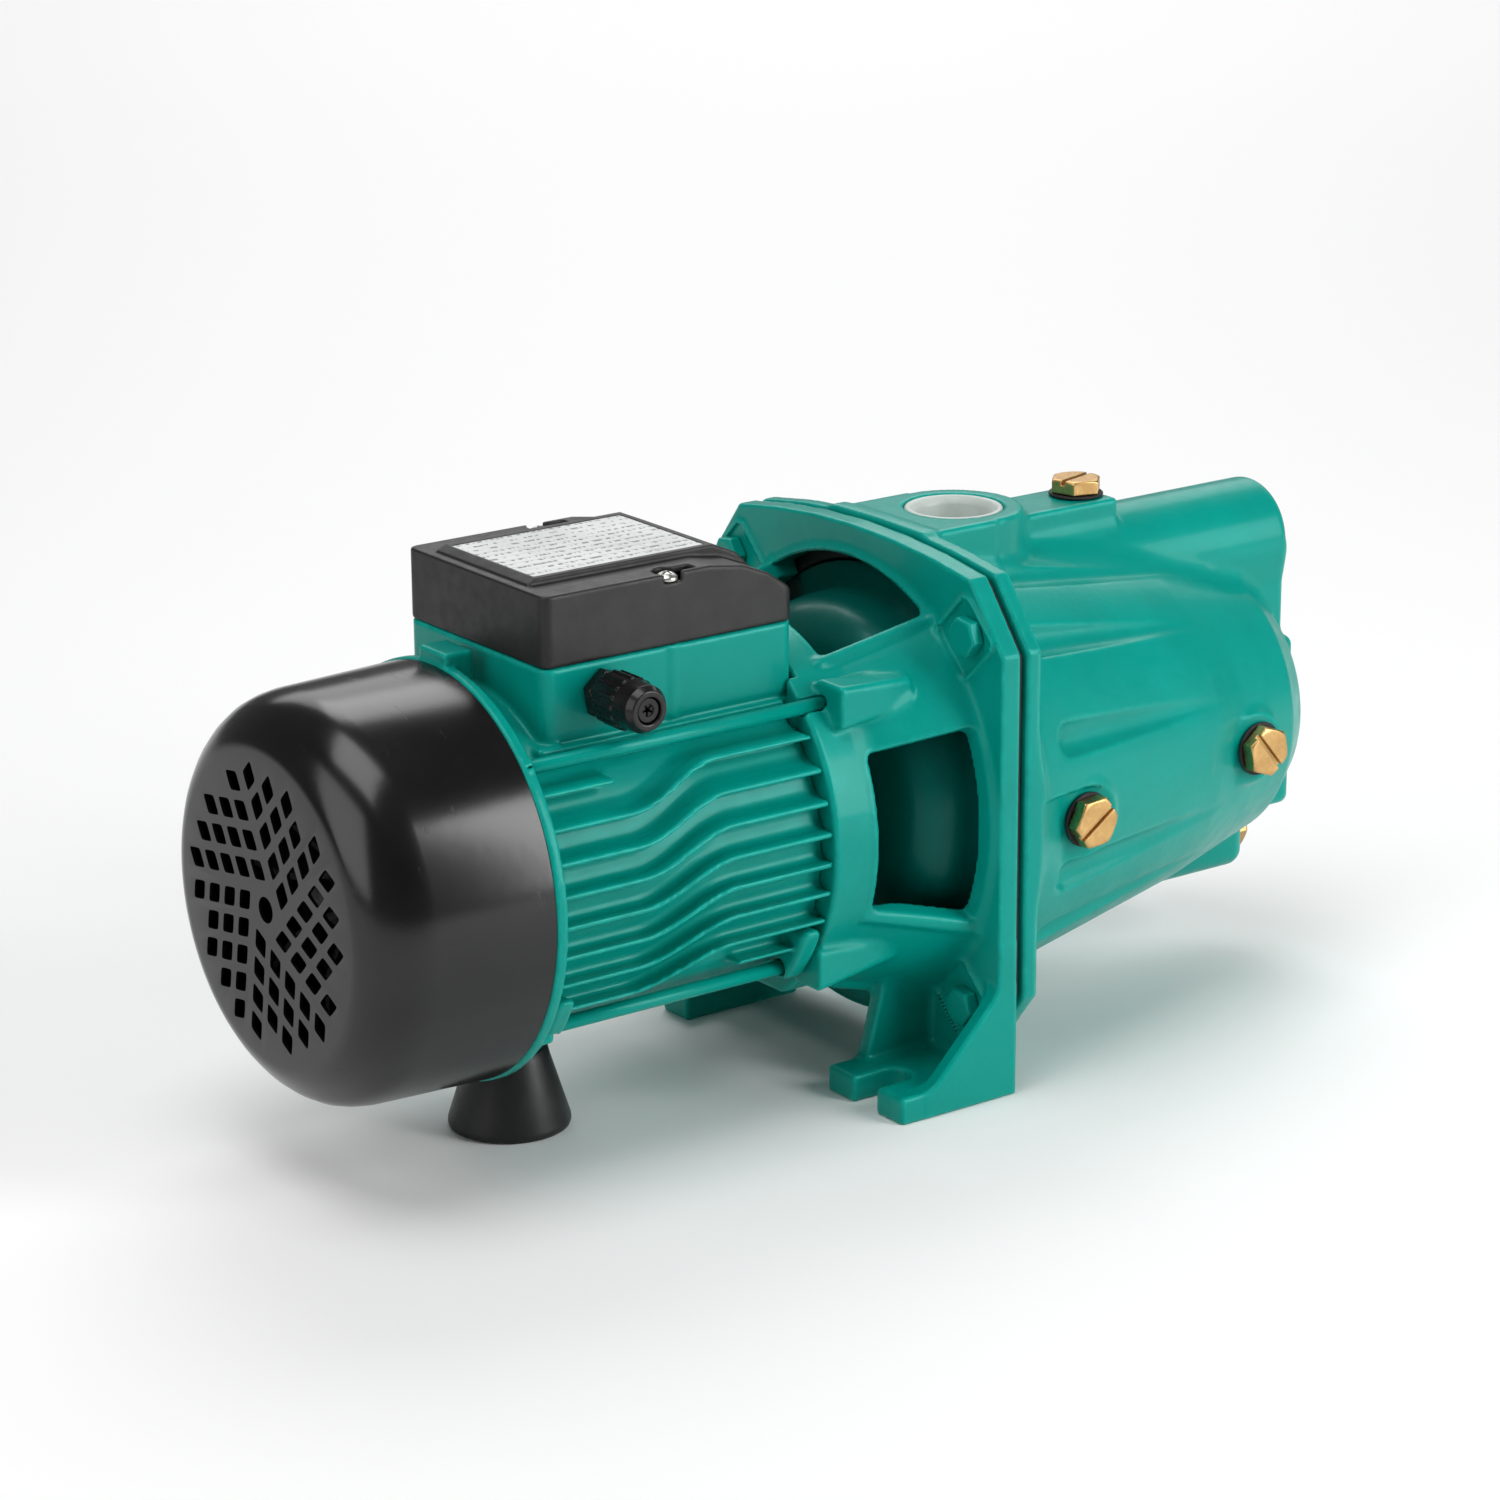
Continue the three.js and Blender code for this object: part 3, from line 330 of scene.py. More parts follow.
def casing_body(p):
    """The barrel with its flutes, flange, plug bosses, necks and blocks, still solid."""
    x, y, z = p
    h, ay = z - H, np.abs(y)
    nose, drop = CASE_NOSE
    body = hull(x, length(y, h), [
        (CASE_BACK, BEYOND), (CASE_FRONT, BEYOND), (CASE_FRONT, 30), (CASE_FRONT - 2, 39),
        (CASE_EDGE + CASE_BEVEL, 47), (CASE_EDGE, barrel_r(CASE_EDGE) - drop),
        (nose, barrel_r(nose)), (CASE_BACK, barrel_r(CASE_BACK)),
    ])
    for angle in FLUTE_TURNS:
        ends = [(station, *polar(barrel_r(station) + size - depth, angle))
                for station, size, depth in FLUTE_ENDS]
        cutter = bar((x, ay, h), *ends, FLUTE_ENDS[0][1], FLUTE_ENDS[1][1])
        body = less(body, cutter, 0.6)
    body = joined(body, flange(x, ay, np.abs(h), (CASE_BACK, CASE_FLANGE)), 7)
    for plug_x, plug_y, plug_z in SIDE_PLUGS:
        boss = rod(p, 1, (plug_x, plug_z), PLUG_BOSS_R, (plug_y, plug_y + 30), 1.2)
        body = joined(body, boss, 4)
        back, far = plug_x - PLUG_RAMP["back"], 120
        ramp = hull(x, -y, [(back, far), (back, barrel_r(back)), (plug_x - PLUG_RAMP["flat"], -plug_y),
                            (plug_x, -plug_y), (plug_x, far)])
        ramp = both(ramp, slab(z, plug_z - PLUG_RAMP["low"], plug_z + PLUG_FACE_R))
        face = rod(p, 1, (plug_x, plug_z), PLUG_FACE_R, (plug_y - 30, plug_y), 0)
        body = less(body, either(ramp, face), 0.9)
    tube = rod(p, 0, (0, TUBE["z"]), TUBE["r"], (OUTLET["x"], TUBE["front"]), 4)
    body = joined(body, tube, 6)
    for spans, edge, fillet in NECKS:
        body = joined(body, block(p, spans, edge), fillet)
    half, low = OUTLET["half"], 150
    outlet = block(p, ((CASE_BACK + 1, OUTLET["x"]), (-half, half), (low, OUTLET["top"])), 1.6)
    round_end = rod(p, 2, (OUTLET["x"], 0), OUTLET["r"], (low, OUTLET["top"]), 1.6)
    body = joined(body, either(outlet, round_end), 4)
    half = PRIMING["half"]
    body = joined(body, block(p, (PRIMING["span"], (-half, half), (low, PRIMING["top"])), 1.6), 4)
    half = DRAIN["half"]
    body = joined(body, block(p, (DRAIN["span"], (-half, half), (DRAIN["bottom"], 80)), 7), 5)
    for trim in (ay - FLANGE_HALF, CASE_BACK - x, x - TUBE["front"]):
        body = common(body, trim, 1)
    return body


def casing(p):
    x, y, z = p
    h = z - H
    end, edge = CASE_EDGE + CASE_BEVEL - 3, CASE_EDGE - 4
    wide = barrel_r(CAVITY_BACK) - CASE_WALL
    cavity = hull(x, length(y, h), [
        (CASE_BACK - 6, BEYOND), (end, BEYOND), (end, 40), (edge, barrel_r(edge) - CASE_WALL),
        (CAVITY_BACK, wide), (CASE_BACK - 6, wide),
    ])
    suction, discharge = (0, TUBE["z"]), (OUTLET["x"], 0)
    front, top = TUBE["front"], OUTLET["top"]
    seat_r, seat_depth = CAP_SEAT
    cuts = [
        cavity,
        rod(p, 0, suction, TUBE["bore"], (310, front + PAST)),
        rod(p, 2, discharge, OUTLET["bore"], (150, top + PAST)),
        rod(p, 0, suction, seat_r, (front - seat_depth, front + PAST)),
        rod(p, 2, discharge, seat_r, (top - seat_depth, top + PAST)),
        rod(p, 2, (PRIMING["x"], 0), PLUG_BORE, (150, PRIMING["top"] + PAST)),
        rod(p, 0, (0, DRAIN["z"]), PLUG_BORE, (334, DRAIN["span"][1] + PAST)),
    ]
    for plug_x, plug_y, plug_z in SIDE_PLUGS:
        cuts.append(rod(p, 1, (plug_x, plug_z), PLUG_BORE, (plug_y - PAST, plug_y + 16)))
    body = casing_body(p)
    for cut in cuts:
        body = less(body, cut, 0.5)
    return less(body, both(bolt_holes(p, np.abs(h)), x - CASE_FLANGE - PAST), 0.5)


def window(x, r, turn, low, high, front):
    """A window in the lantern's wall between two directions, in degrees."""
    corner = WINDOW["corner"]
    edge = np.radians(both(low - turn, turn - high)) * r + corner
    v = slab(x, WINDOW["span"][0], front) + corner
    flat = length(both(edge, 0), both(v, 0)) + either(both(edge, v), 0) - corner
    return both(flat, WINDOW["depth_r"] - r)


def lantern_shell(p):
    """The ring and the cone with their windows and lips."""
    x, y, z = p
    h, ay = z - H, np.abs(y)
    r = length(y, h)
    ring = common(r - RING_R, slab(x, RING[0], RING[1] + PAST), 1.5)
    back, (end, end_r) = RING[1] - 2, CONE_END
    cone = hull(x, r, [(back, BEYOND), (end, BEYOND), (end, end_r), (back, RING_R - 0.6)])
    body = joined(ring, cone, 1.5)
    turn = np.degrees(np.arctan2(h, ay))
    window_back, window_front = WINDOW["span"]
    low = SIDE_WINDOW["low"] + SIDE_WINDOW["slope"] * (x - window_back)
    upper = 90 - TOP_WINDOW - 1.8
    for turns in (LIP_TURNS, (upper, upper), (-upper, -upper)):
        ends = [(station, *polar(line_r, angle))
                for (station, line_r, _), angle in zip((LIP["back"], LIP["front"]), turns)]
        body = joined(body, bar((x, ay, h), *ends, LIP["back"][2], LIP["front"][2]), 2)
    body = less(body, window(x, r, turn, low, SIDE_WINDOW["top"], window_front), 1.2)
    body = less(body, window(x, r, 90 - np.abs(turn), -TOP_WINDOW, TOP_WINDOW, window_front), 1.2)
    under_motor = both(x - window_back - 2, z - (H - CORE_R))
    body = less(body, under_motor, 1.5)
    hollow_r, mouth = HOLLOW["r"], HOLLOW["mouth"]
    wide = either(
        both(slab(x, HOLLOW["back"], AHEAD_OF), r - hollow_r),
        hull(x, r, [(RING[1], BEYOND), (AHEAD_OF, BEYOND), (AHEAD_OF, mouth), (183, mouth),
                    (RING[1], hollow_r)]))
    return less(body, wide, 0.8)


def lantern_lugs(body, ay, x, z):
    """The body with the lugs that the tie rods enter."""
    for rod_y, rod_z in RODS[1::2]:
        upper = rod_z > H
        start, end = UPPER_LUG if upper else LOWER_LUG
        size = LUG_SIZE * (1 - (0.25 if upper else 0.4) * (x - start) / (end - start))
        out, up = (4.5, 0.5) if upper else (5, 0)
        lug = common(np.abs(ay - rod_y - out) - size, np.abs(z - rod_z - up) - size, 2.5)
        body = joined(body, common(lug, slab(x, start, end + 4), 1.2), 2.5)
    return body


def lantern_feet(body, ay, x, z):
    """The body with both slotted feet, their ribs and the legs of the flange."""
    inner, thick, rib = FEET["inner"], FEET["thick"], FEET["rib"]
    slot_x, slot_y, slot_r = FEET["slot"]
    toe = both(slab(ay, inner, FLANGE_HALF), slab(x, FEET["toe"], FLANGE[1]))
    foot = common(toe, z - thick, 1.6)
    slot = length(both(x - slot_x, 0), ay - slot_y) - slot_r
    leg = both(both(slab(ay, inner, 99), slab(x, *FLANGE)), z - FEET["leg"])
    gusset = hull(x, z, [(150, -9), (AHEAD_OF, -9), (AHEAD_OF, 42), (183, 42), (150, 9)])
    gusset = both(gusset, FLANGE_HALF - rib - ay)
    web = hull(x, z, [(151, -9), (AHEAD_OF, -9), (AHEAD_OF, 58), (176, 58), (160, 42), (151, 9)])
    web = common(web, slab(ay, inner, inner + rib), 1.1)
    foot = joined(joined(foot, gusset, 3), web, 3)
    body = joined(body, less(foot, slot, 1.1), 3)
    return either(body, leg)


def lantern(p):
    x, y, z = p
    h, ay = z - H, np.abs(y)
    ah = np.abs(h)
    side = (x, ay, z)
    r = length(y, h)
    turn = np.degrees(np.arctan2(h, ay))
    body = joined(lantern_shell(p), flange(x, ay, ah, FLANGE), 3)
    body = lantern_lugs(body, ay, x, z)
    a = (ay - POCKET["y"] + ah - POCKET["h"]) / math.sqrt(2)
    b = (ay - POCKET["y"] - ah + POCKET["h"]) / math.sqrt(2)
    pocket = common(np.abs(a) - POCKET["half"], np.abs(b) - POCKET["half"], 2.5)
    body = joined(body, both(pocket - POCKET["rim"], slab(x, 180.3, 183)), 1)
    body = less(body, both(pocket, slab(x, 150, FLANGE[0])), 0.7)
    body = lantern_feet(body, ay, x, z)
    opening = both(slab(x, FLANGE[0] - 1, AHEAD_OF), r - HOLLOW["mouth"])
    arch = window(x, r, 90 - turn, -TOP_WINDOW, TOP_WINDOW, AHEAD_OF)
    arch = both(arch, r - ARCH_R)
    core = both(slab(x, RING[1], AHEAD_OF), r - 70)
    body = less(body, either(arch, either(opening, core)), 0.8)
    body = less(body, both(both(ay - FEET["inner"], z - 30), BELLY_R - r), 1)
    for trim in (ay - FLANGE_HALF, -z, x - FLANGE[1]):
        body = common(body, trim, 1.1)
    body = joined(body, both(r - BEARING["hub_r"], slab(x, *BEARING["hub"])), 2)
    body = less(body, both(slab(r, 28, 54), slab(x, 100, 126)), 1)
    body = less(body, both(r - BEARING["seat_r"], slab(x, 100, BEARING["seat"])), 0.5)
    body = less(body, r - BEARING["hole_r"], 0.5)
    box_room = block(p, ((100, BOX["front"] + 0.4), (-43.3, 43.3), (152.9, 220)))
    body = less(body, box_room, 0.8)
    for rod_y, rod_z in RODS[1::2]:
        end = (UPPER_LUG if rod_z > H else LOWER_LUG)[0] + 13
        body = less(body, rod(side, 0, (rod_y, rod_z), ROD_R + 0.3, (100, end)), 0.3)
    return less(body, bolt_holes(p, ah), 0.5)


def housing_fins(x, z, r):
    """Fins that rise by one pitch along the motor, and two short level ones."""
    back, front = HOUSING
    bend_start, bend_end = FIN["bend"]
    t = np.clip((x - bend_start) / (bend_end - bend_start), 0, 1)
    level = (z - FIN["top"]) / FIN["pitch"] - (1 - np.cos(math.pi * t)) / 2
    nearest = np.clip(np.round(level), 1 - FIN["count"], 0)
    half = FIN["thick"] / 2 + FIN_DRAFT * both(FIN["r"] - r, -3)
    fins = np.abs(level - nearest) * FIN["pitch"] * FIN_SLOPE - half
    for height, start, end in STUBS:
        off = np.abs(z - height)
        fins = either(fins, common(off - half, slab(x, start, end) + off, 0.5))
    return both(common(fins, r - FIN["r"], 0.5), slab(x, back + 0.5, front))


def terminal_box(body, p, r):
    """The body with the base of the terminal box, its hollow and its screw posts."""
    x, y, z = p
    side = (x, np.abs(y), z)
    back, front = HOUSING
    half = LEDGE["half"]
    ledge = block(p, ((BOX["back"] - 4, front), (-half, half), (LEDGE["bottom"], BOX["floor"])), 1.6)
    body = joined(body, ledge, 2.5)
    half = BOX["half"]
    plan = rounded_plan(p, ((BOX["back"], BOX["front"]), (-half, half)), BOX["corner"])
    tub = common(plan, slab(z, BOX["floor"] - 8, BOX["rim"]), 0.6)
    body = joined(body, both(tub, back - x), 1.6)
    groove = rod(side, 0, (half + 0.9, BOX["floor"] + 0.4), 1.4, (24, 140))
    body = less(body, groove, 0.3)
    tab = block(side, ((back, BOX["back"] + 2), (16, 22), (150, 162)), 1)
    body = joined(body, tab, 1.5)
    hollow = both(plan + BOX_WALL, BOX["floor"] + BOX_WALL - z)
    body = less(body, both(hollow, CORE_R - r), 0.6)
    post = rod(side, 2, LID_SCREW, SCREW_POST_R, (BOX["floor"], BOX["rim"]), 0.4)
    body = joined(body, post, 0.8)
    body = less(body, rod(side, 2, LID_SCREW, SCREW_HOLE_R, (BOX["floor"] + 14, 220)), 0.3)
    return less(body, rod(p, 1, GLAND, GLAND_HOLE_R, (-50, -30)), 0.4)


def housing(p):
    x, y, z = p
    ay, r = np.abs(y), length(y, z - H)
    side = (x, ay, z)
    back, front = HOUSING
    body = common(r - BARREL_R, slab(x, back, front), 0.8)
    body = joined(body, both(housing_fins(x, z, r), 30 - ay), 2.8)
    body = terminal_box(body, p, r)
    foot_x, (foot_bottom, foot_top) = FOOT["x"], FOOT["boss"]
    boss = rod(p, 2, (foot_x, 0), FOOT["boss_r"], (foot_bottom, foot_top), 0.8)
    body = joined(body, boss, 3)
    body = less(body, both(r - STATOR_R, 30.7 - z), 0.5)
    body = less(body, rod(p, 2, (foot_x, 0), FOOT["screw_r"], (20, 50)), 0.3)
    body = less(body, rod(p, 2, (WIRE_HOLE[0], 0), WIRE_HOLE[1], (140, 175)), 0.3)
    lug_start, low_rod = LOWER_LUG[0], RODS[3][1]
    front_post = block(side, ((lug_start - 9, lug_start - 0.7), (40, 80), (low_rod - 4.5, low_rod + 17)), 3)
    rear_post = block(side, ((back, back + 8), (40, 80), (low_rod - 2, low_rod + 14)), 2.5)
    posts = either(front_post, both(rear_post, back - x))
    body = joined(body, common(posts, r - RING_R - 1.5, 2), 1)
    for rod_y, rod_z in RODS[1::2]:
        body = less(body, rod(side, 0, (rod_y, rod_z), 3.2, (-9, 140)), 0.4)
        for span, half_y, half_z in (((-9, 10.3), 5.3, 4.8), ((lug_start - 0.4, 140), 8.6, 8.6)):
            room = block(side, (span, (rod_y - half_y, rod_y + half_y), (rod_z - half_z, rod_z + half_z)))
            body = less(body, room, 0.4)
    return body


def endshield(p):
    x, y, z = p
    r = length(y, z - H)
    side = (x, np.abs(y), z)
    (rim_back, rim_front), rim_r = SHIELD["rim"], SHIELD["rim_r"]
    hub_back, hub_r = SHIELD["hub"]
    rim = common(both(r - rim_r, slab(x, rim_back, rim_front)), r - rim_r, 1.2)
    rim = either(rim, common(r - SHIELD["spigot_r"], slab(x, -6, rim_front), 0.8))
    hub = common(r - hub_r, slab(x, hub_back, rim_front), 1.5)
    body = joined(rim, hub, 3)
    body = joined(body, block(p, ((0.6, 12), (-8, 9), (170, 181.5)), 1), 1.5)
    inner = hub_r - 1
    body = less(body, both(slab(r, inner, 62), 0.2 - x + 0.08 * (r - inner)), 1)
    pitch = 360 / SHIELD["ribs"]
    turn = np.degrees(np.arctan2(z - H, y)) % pitch - pitch / 2
    rib = common(np.abs(np.radians(turn)) * r - 2, slab(x, -9, 1), 0.8)
    body = joined(body, both(rib, slab(r, 20, 70)), 1.5)
    for rod_y, rod_z in RODS[1::2]:
        reach = 5 if rod_z > H else 10
        lug = block(side, ((1, reach), (rod_y - 5, rod_y + 5), (rod_z - 4.5, rod_z + 4.5)), 2)
        body = joined(body, both(lug, r - rim_r), 0.8)
        body = less(body, rod(side, 0, (rod_y, rod_z), 3.1, (3, 20)), 0.3)
    body = less(body, both(r - 17.8, -8.8 - x), 0.4)
    return less(body, r - 8.5, 0.4)


def lid(p):
    x, y, z = p
    rim, shelf, crown = BOX["rim"] + 0.3, LID["shelf"], LID["crown"]
    back, front = BOX["back"], BOX["front"]
    outline = [(back, rim), (front, rim), (front, 192), (113, 199.8), (102, 204.3), (88, shelf),
               (back, shelf)]
    plan = rounded_plan(p, ((back, front), (-43.1, 43.1)), 4)
    body = common(hull(x, z, outline), plan, 1.0)
    plateau = hull(x, z, [(22, 198), (118, 196.6), (110, 204.6), (100, crown), (26, crown), (22, 207.2)])
    body = joined(body, common(plateau, slab(y, -28, 30), 0.7), 0.6)
    inner = hull(x, z, [(back, 170), (front, 170), (front, 190.6), (112, 197.2), (101, 201.7), (88, 204),
                        (back, 204)])
    body = less(body, both(inner, plan + 2.5), 0.6)
    body = less(body, block(p, (LABEL["x"], LABEL["y"], (crown - 1, 220))), 0.25)
    side = (x, np.abs(y), z)
    post = both(rod(side, 2, LID_SCREW, SCREW_POST_R, (rim, 204)), plan)
    body = either(body, post)
    well = rod(side, 2, LID_SCREW, 5, (203, 220), 0.5)
    notch = block(side, ((LID_SCREW[0], LID_SCREW[0] + 11), (36, 41), (204.2, 220)), 0.5)
    body = less(body, either(well, notch), 0.5)
    return less(body, rod(side, 2, LID_SCREW, SCREW_HOLE_R, (170, 220)), 0.3)


def gasket(p):
    x, y, z = p
    h = np.abs(z - H)
    sheet = flange(x, np.abs(y), h, (FLANGE[1] + 0.3, CASE_BACK - 0.3), 2.2)
    return both(both(sheet, 80 - length(y, z - H)), -bolt_holes(p, h))


# ---- small turned and hexagonal fields
# These are drawn along +z from a seat at zero.


def hexagon(u, v, flats, turn=0.0):
    worst = None
    for k in range(3):
        c, s = polar(1, turn + 60 * k)
        face = np.abs(u * c + v * s) - flats / 2
        worst = face if worst is None else both(worst, face)
    return worst


def hex_head(p, flats, low, high, soft=0.4):
    """A hexagonal head with its top corners turned off."""
    r = length(p[0], p[1])
    head = common(hexagon(p[0], p[1], flats), slab(p[2], low, high), soft)
    return common(head, (r + 1.7 * (p[2] - high) - flats / 2) / 1.97, soft)


def thread(p, radius, span, pitch):
    """A threaded shank with a round-topped ridge."""
    turn = np.arctan2(p[1], p[0]) / (2 * math.pi)
    wave = np.cos(2 * math.pi * (p[2] / pitch - turn))
    return both((length(p[0], p[1]) - radius + 0.3 - 0.3 * wave) * 0.55, slab(p[2], *span))


def plug(p):
    body = either(hex_head(p, 17.5, 1.7, 7.1), thread(p, 6.3, (-12, 2.5), 1.337))
    return less(body, block(p, ((-12, 12), (-0.9, 0.9), (5.3, 9))), 0.25)


def flange_bolt(p):
    head = hex_head(p, 13, 0.3, 5.6, 0.8)
    return either(head, rod(p, 2, (0, 0), 4, (-18, 1), 0.5))


def lid_screw(p):
    r = length(p[0], p[1])
    head = common(r - 4, slab(p[2], 0, 3), 0.2)
    head = common(head, length(p[0], p[1], p[2] + 2.2) - 5.2, 0.2)
    slots = [block(p, (first, second, (1.6, 9)))
             for first, second in (((-2.4, 2.4), (-0.5, 0.5)), ((-0.5, 0.5), (-2.4, 2.4)))]
    body = less(head, either(*slots), 0.15)
    return either(body, thread(p, 1.9, (-27, 0.5), 0.9))


def gland_body(p):
    r = length(p[0], p[1])
    body = either(hex_head(p, 16.5, 0.3, 5, 0.4), thread(p, 6.4, (-9, 15), 1.4))
    return less(body, r - 4.4, 0.3)


def gland_nut(p):
    r = length(p[0], p[1])
    turn = np.degrees(np.arctan2(p[1], p[0])) % 22.5 - 11.25
    body = hull(r, p[2], [(-9, 5.3), (9.1, 5.3), (9.1, 17), (9.0, 19), (8.5, 25), (6.9, 27.5), (-9, 27.5)])
    rib = both(np.abs(np.radians(turn)) * r - 0.75, both(slab(p[2], 6, 17.5), slab(r, 7, 9.7)))
    body = joined(body, rib, 0.4)
    bore = either(both(r - 6.8, p[2] - 16), r - 4.8)
    return less(body, bore, 0.5)


def gland_seal(p):
    """Rubber grommet, slit into petals."""
    r = length(p[0], p[1])
    turn = np.degrees(np.arctan2(p[1], p[0])) % 72 - 36
    body = common(slab(r, 2.2, 4.3), slab(p[2], 15.3, 26.6), 0.3)
    petals = both(slab(r, 0.9, 2.6), slab(p[2], 24.2, 26))
    petals = common(petals, 0.35 - np.abs(np.radians(turn)) * r, 0.1)
    return either(body, petals)


# ---- materials


class Paint:
    """A material being built, with its coordinates and its Principled shader."""

    def __init__(self, name, **values):
        self.material = bpy.data.materials.new(name)
        self.material.use_nodes = True
        self.tree = self.material.node_tree
        self.shader = self.tree.nodes["Principled BSDF"]
        self.at = self.node("ShaderNodeTexCoord").outputs["Object"]
        for key, value in values.items():
            self.shader.inputs[key.replace("_", " ")].default_value = value

    def node(self, kind, inputs=None, **settings):
        """Adds a node. An input's value is either plain or an output socket."""
        node = self.tree.nodes.new(kind)
        for key, value in settings.items():
            setattr(node, key, value)
        for key, value in (inputs or {}).items():
            if isinstance(value, bpy.types.NodeSocket):
                self.tree.links.new(value, node.inputs[key])
            else:
                node.inputs[key].default_value = value
        return node

    def set(self, name, socket):
        self.tree.links.new(socket, self.shader.inputs[name])

    def noise(self, scale, detail=3.0, rough=0.55, stretch=(1, 1, 1)):
        """Noise with features about 1 / scale metres across."""
        spot = self.node("ShaderNodeMapping", {"Vector": self.at, "Scale": stretch}).outputs[0]
        return self.node("ShaderNodeTexNoise", {
            "Vector": spot, "Scale": scale, "Detail": detail, "Roughness": rough}).outputs["Fac"]

    def span(self, value, low, high, to_low=0.0, to_high=1.0):
        return self.node("ShaderNodeMapRange", {
            "Value": value, "From Min": low, "From Max": high, "To Min": to_low, "To Max": to_high,
        }).outputs[0]

    def cloud(self, scale, detail=3.0, low=0.0, high=1.0):
        """Soft patches between two values."""
        return self.span(self.noise(scale, detail), 0.3, 0.7, low, high)

    def math(self, operation, first, second=None):
        inputs = {0: first} if second is None else {0: first, 1: second}
        return self.node("ShaderNodeMath", inputs, operation=operation).outputs[0]

    def blend(self, amount, first, second):
        first, second = (c if isinstance(c, bpy.types.NodeSocket) else (*c, 1) for c in (first, second))
        return self.node("ShaderNodeMix", {0: amount, 6: first, 7: second}, data_type="RGBA").outputs[2]

    def bump(self, *layers):
        """Each layer is a height from 0 to 1 and what it stands for in millimetres."""
        normal = None
        for height, depth in layers:
            inputs = {"Height": height, "Distance": depth / 1000, "Strength": 1.0}
            if normal is not None:
                inputs["Normal"] = normal
            normal = self.node("ShaderNodeBump", inputs).outputs[0]
        self.set("Normal", normal)


TEAL = (0.0, 0.275, 0.225)
TEAL_DEEP = (0.0, 0.240, 0.195)
TEAL_EDGE_SHEEN = (0.005, 0.370, 0.305)  # lighter on convex edges: partly a painted highlight, partly wear of the paint


def enamel(name, sand, peel, painted_shade_scale=1.0):
    """Blue-green enamel, with the depth in millimetres of its cast skin and of its orange peel. A shade
    factor below one darkens all its colours as painted shade.
    """
    paint = Paint(name, Coat_Weight=0.1, Coat_Roughness=0.1, IOR=1.36, Specular_Tint=(0.2, 1, 0.92, 1))
    deep, light, edge = (tuple(painted_shade_scale * c for c in colour) for colour in (TEAL_DEEP, TEAL, TEAL_EDGE_SHEEN))
    base = paint.blend(paint.cloud(28, 4), deep, light)
    # Convex edges are lightened in noisy patches: partly a painted highlight, partly wear of the paint.
    convex_edges = paint.span(paint.node("ShaderNodeNewGeometry").outputs["Pointiness"], 0.505, 0.56)
    edge_sheen_and_wear = paint.math("MULTIPLY", convex_edges, paint.span(paint.noise(160, 4), 0.35, 0.7, 0.15, 0.85))
    paint.set("Base Color", paint.blend(edge_sheen_and_wear, base, edge))
    paint.set("Roughness", paint.cloud(120, 4, 0.28, 0.42))
    paint.bump((paint.noise(110, 2), peel), (paint.noise(420, 3), sand), (paint.noise(900, 3), sand * 0.35))
    return paint.material


def black_sheet():
    paint = Paint("black_sheet_enamel", IOR=1.5)
    paint.set("Base Color", paint.blend(paint.cloud(40), (0.002, 0.002, 0.002),
                                        (0.005, 0.005, 0.005)))
    scratches = paint.span(paint.noise(60, 6, 0.7, (6, 1, 1)), 0.62, 0.72)
    paint.set("Roughness", paint.span(scratches, 0, 1, 0.2, 0.36))
    paint.bump((paint.noise(220, 2), 0.02), (paint.noise(1400, 2), 0.004))
    return paint.material


def moulded(name, colour, rough, grain, scale=1500):
    """Moulded plastic or rubber with a fine grain."""
    paint = Paint(name, IOR=1.42)
    lighter = tuple(c * 1.5 + 0.003 for c in colour)
    paint.set("Base Color", paint.blend(paint.span(paint.noise(90, 5), 0.3, 0.75), colour, lighter))
    paint.set("Roughness", paint.cloud(200, 4, rough - 0.06, rough + 0.08))
    paint.bump((paint.noise(scale, 2), grain), (paint.noise(120, 3), grain * 1.5))
    return paint.material


def metal(name, colour, dull, rough, stretch=(1, 1, 1), grain=0.01):
    """Bare metal with machining marks and dull patches."""
    paint = Paint(name, Metallic=1.0)
    patches = paint.span(paint.noise(150, 5, 0.65), 0.35, 0.7)
    paint.set("Base Color", paint.blend(patches, colour, dull))
    marks = paint.noise(1200, 3, 0.6, stretch)
    paint.set("Roughness", paint.span(marks, 0.3, 0.7, rough - 0.08, rough + 0.14))
    paint.bump((marks, grain), (paint.noise(260, 3), grain * 2))
    return paint.material


def milky():
    paint = Paint("milky_plastic", Subsurface_Weight=0.35, Subsurface_Radius=(0.003, 0.003, 0.003), IOR=1.5)
    cloud = paint.cloud(60)
    paint.set("Base Color", paint.blend(cloud, (0.44, 0.50, 0.47), (0.54, 0.59, 0.56)))
    paint.set("Roughness", paint.cloud(200, 3.0, 0.32, 0.48))
    paint.bump((paint.noise(500), 0.01))
    return paint.material


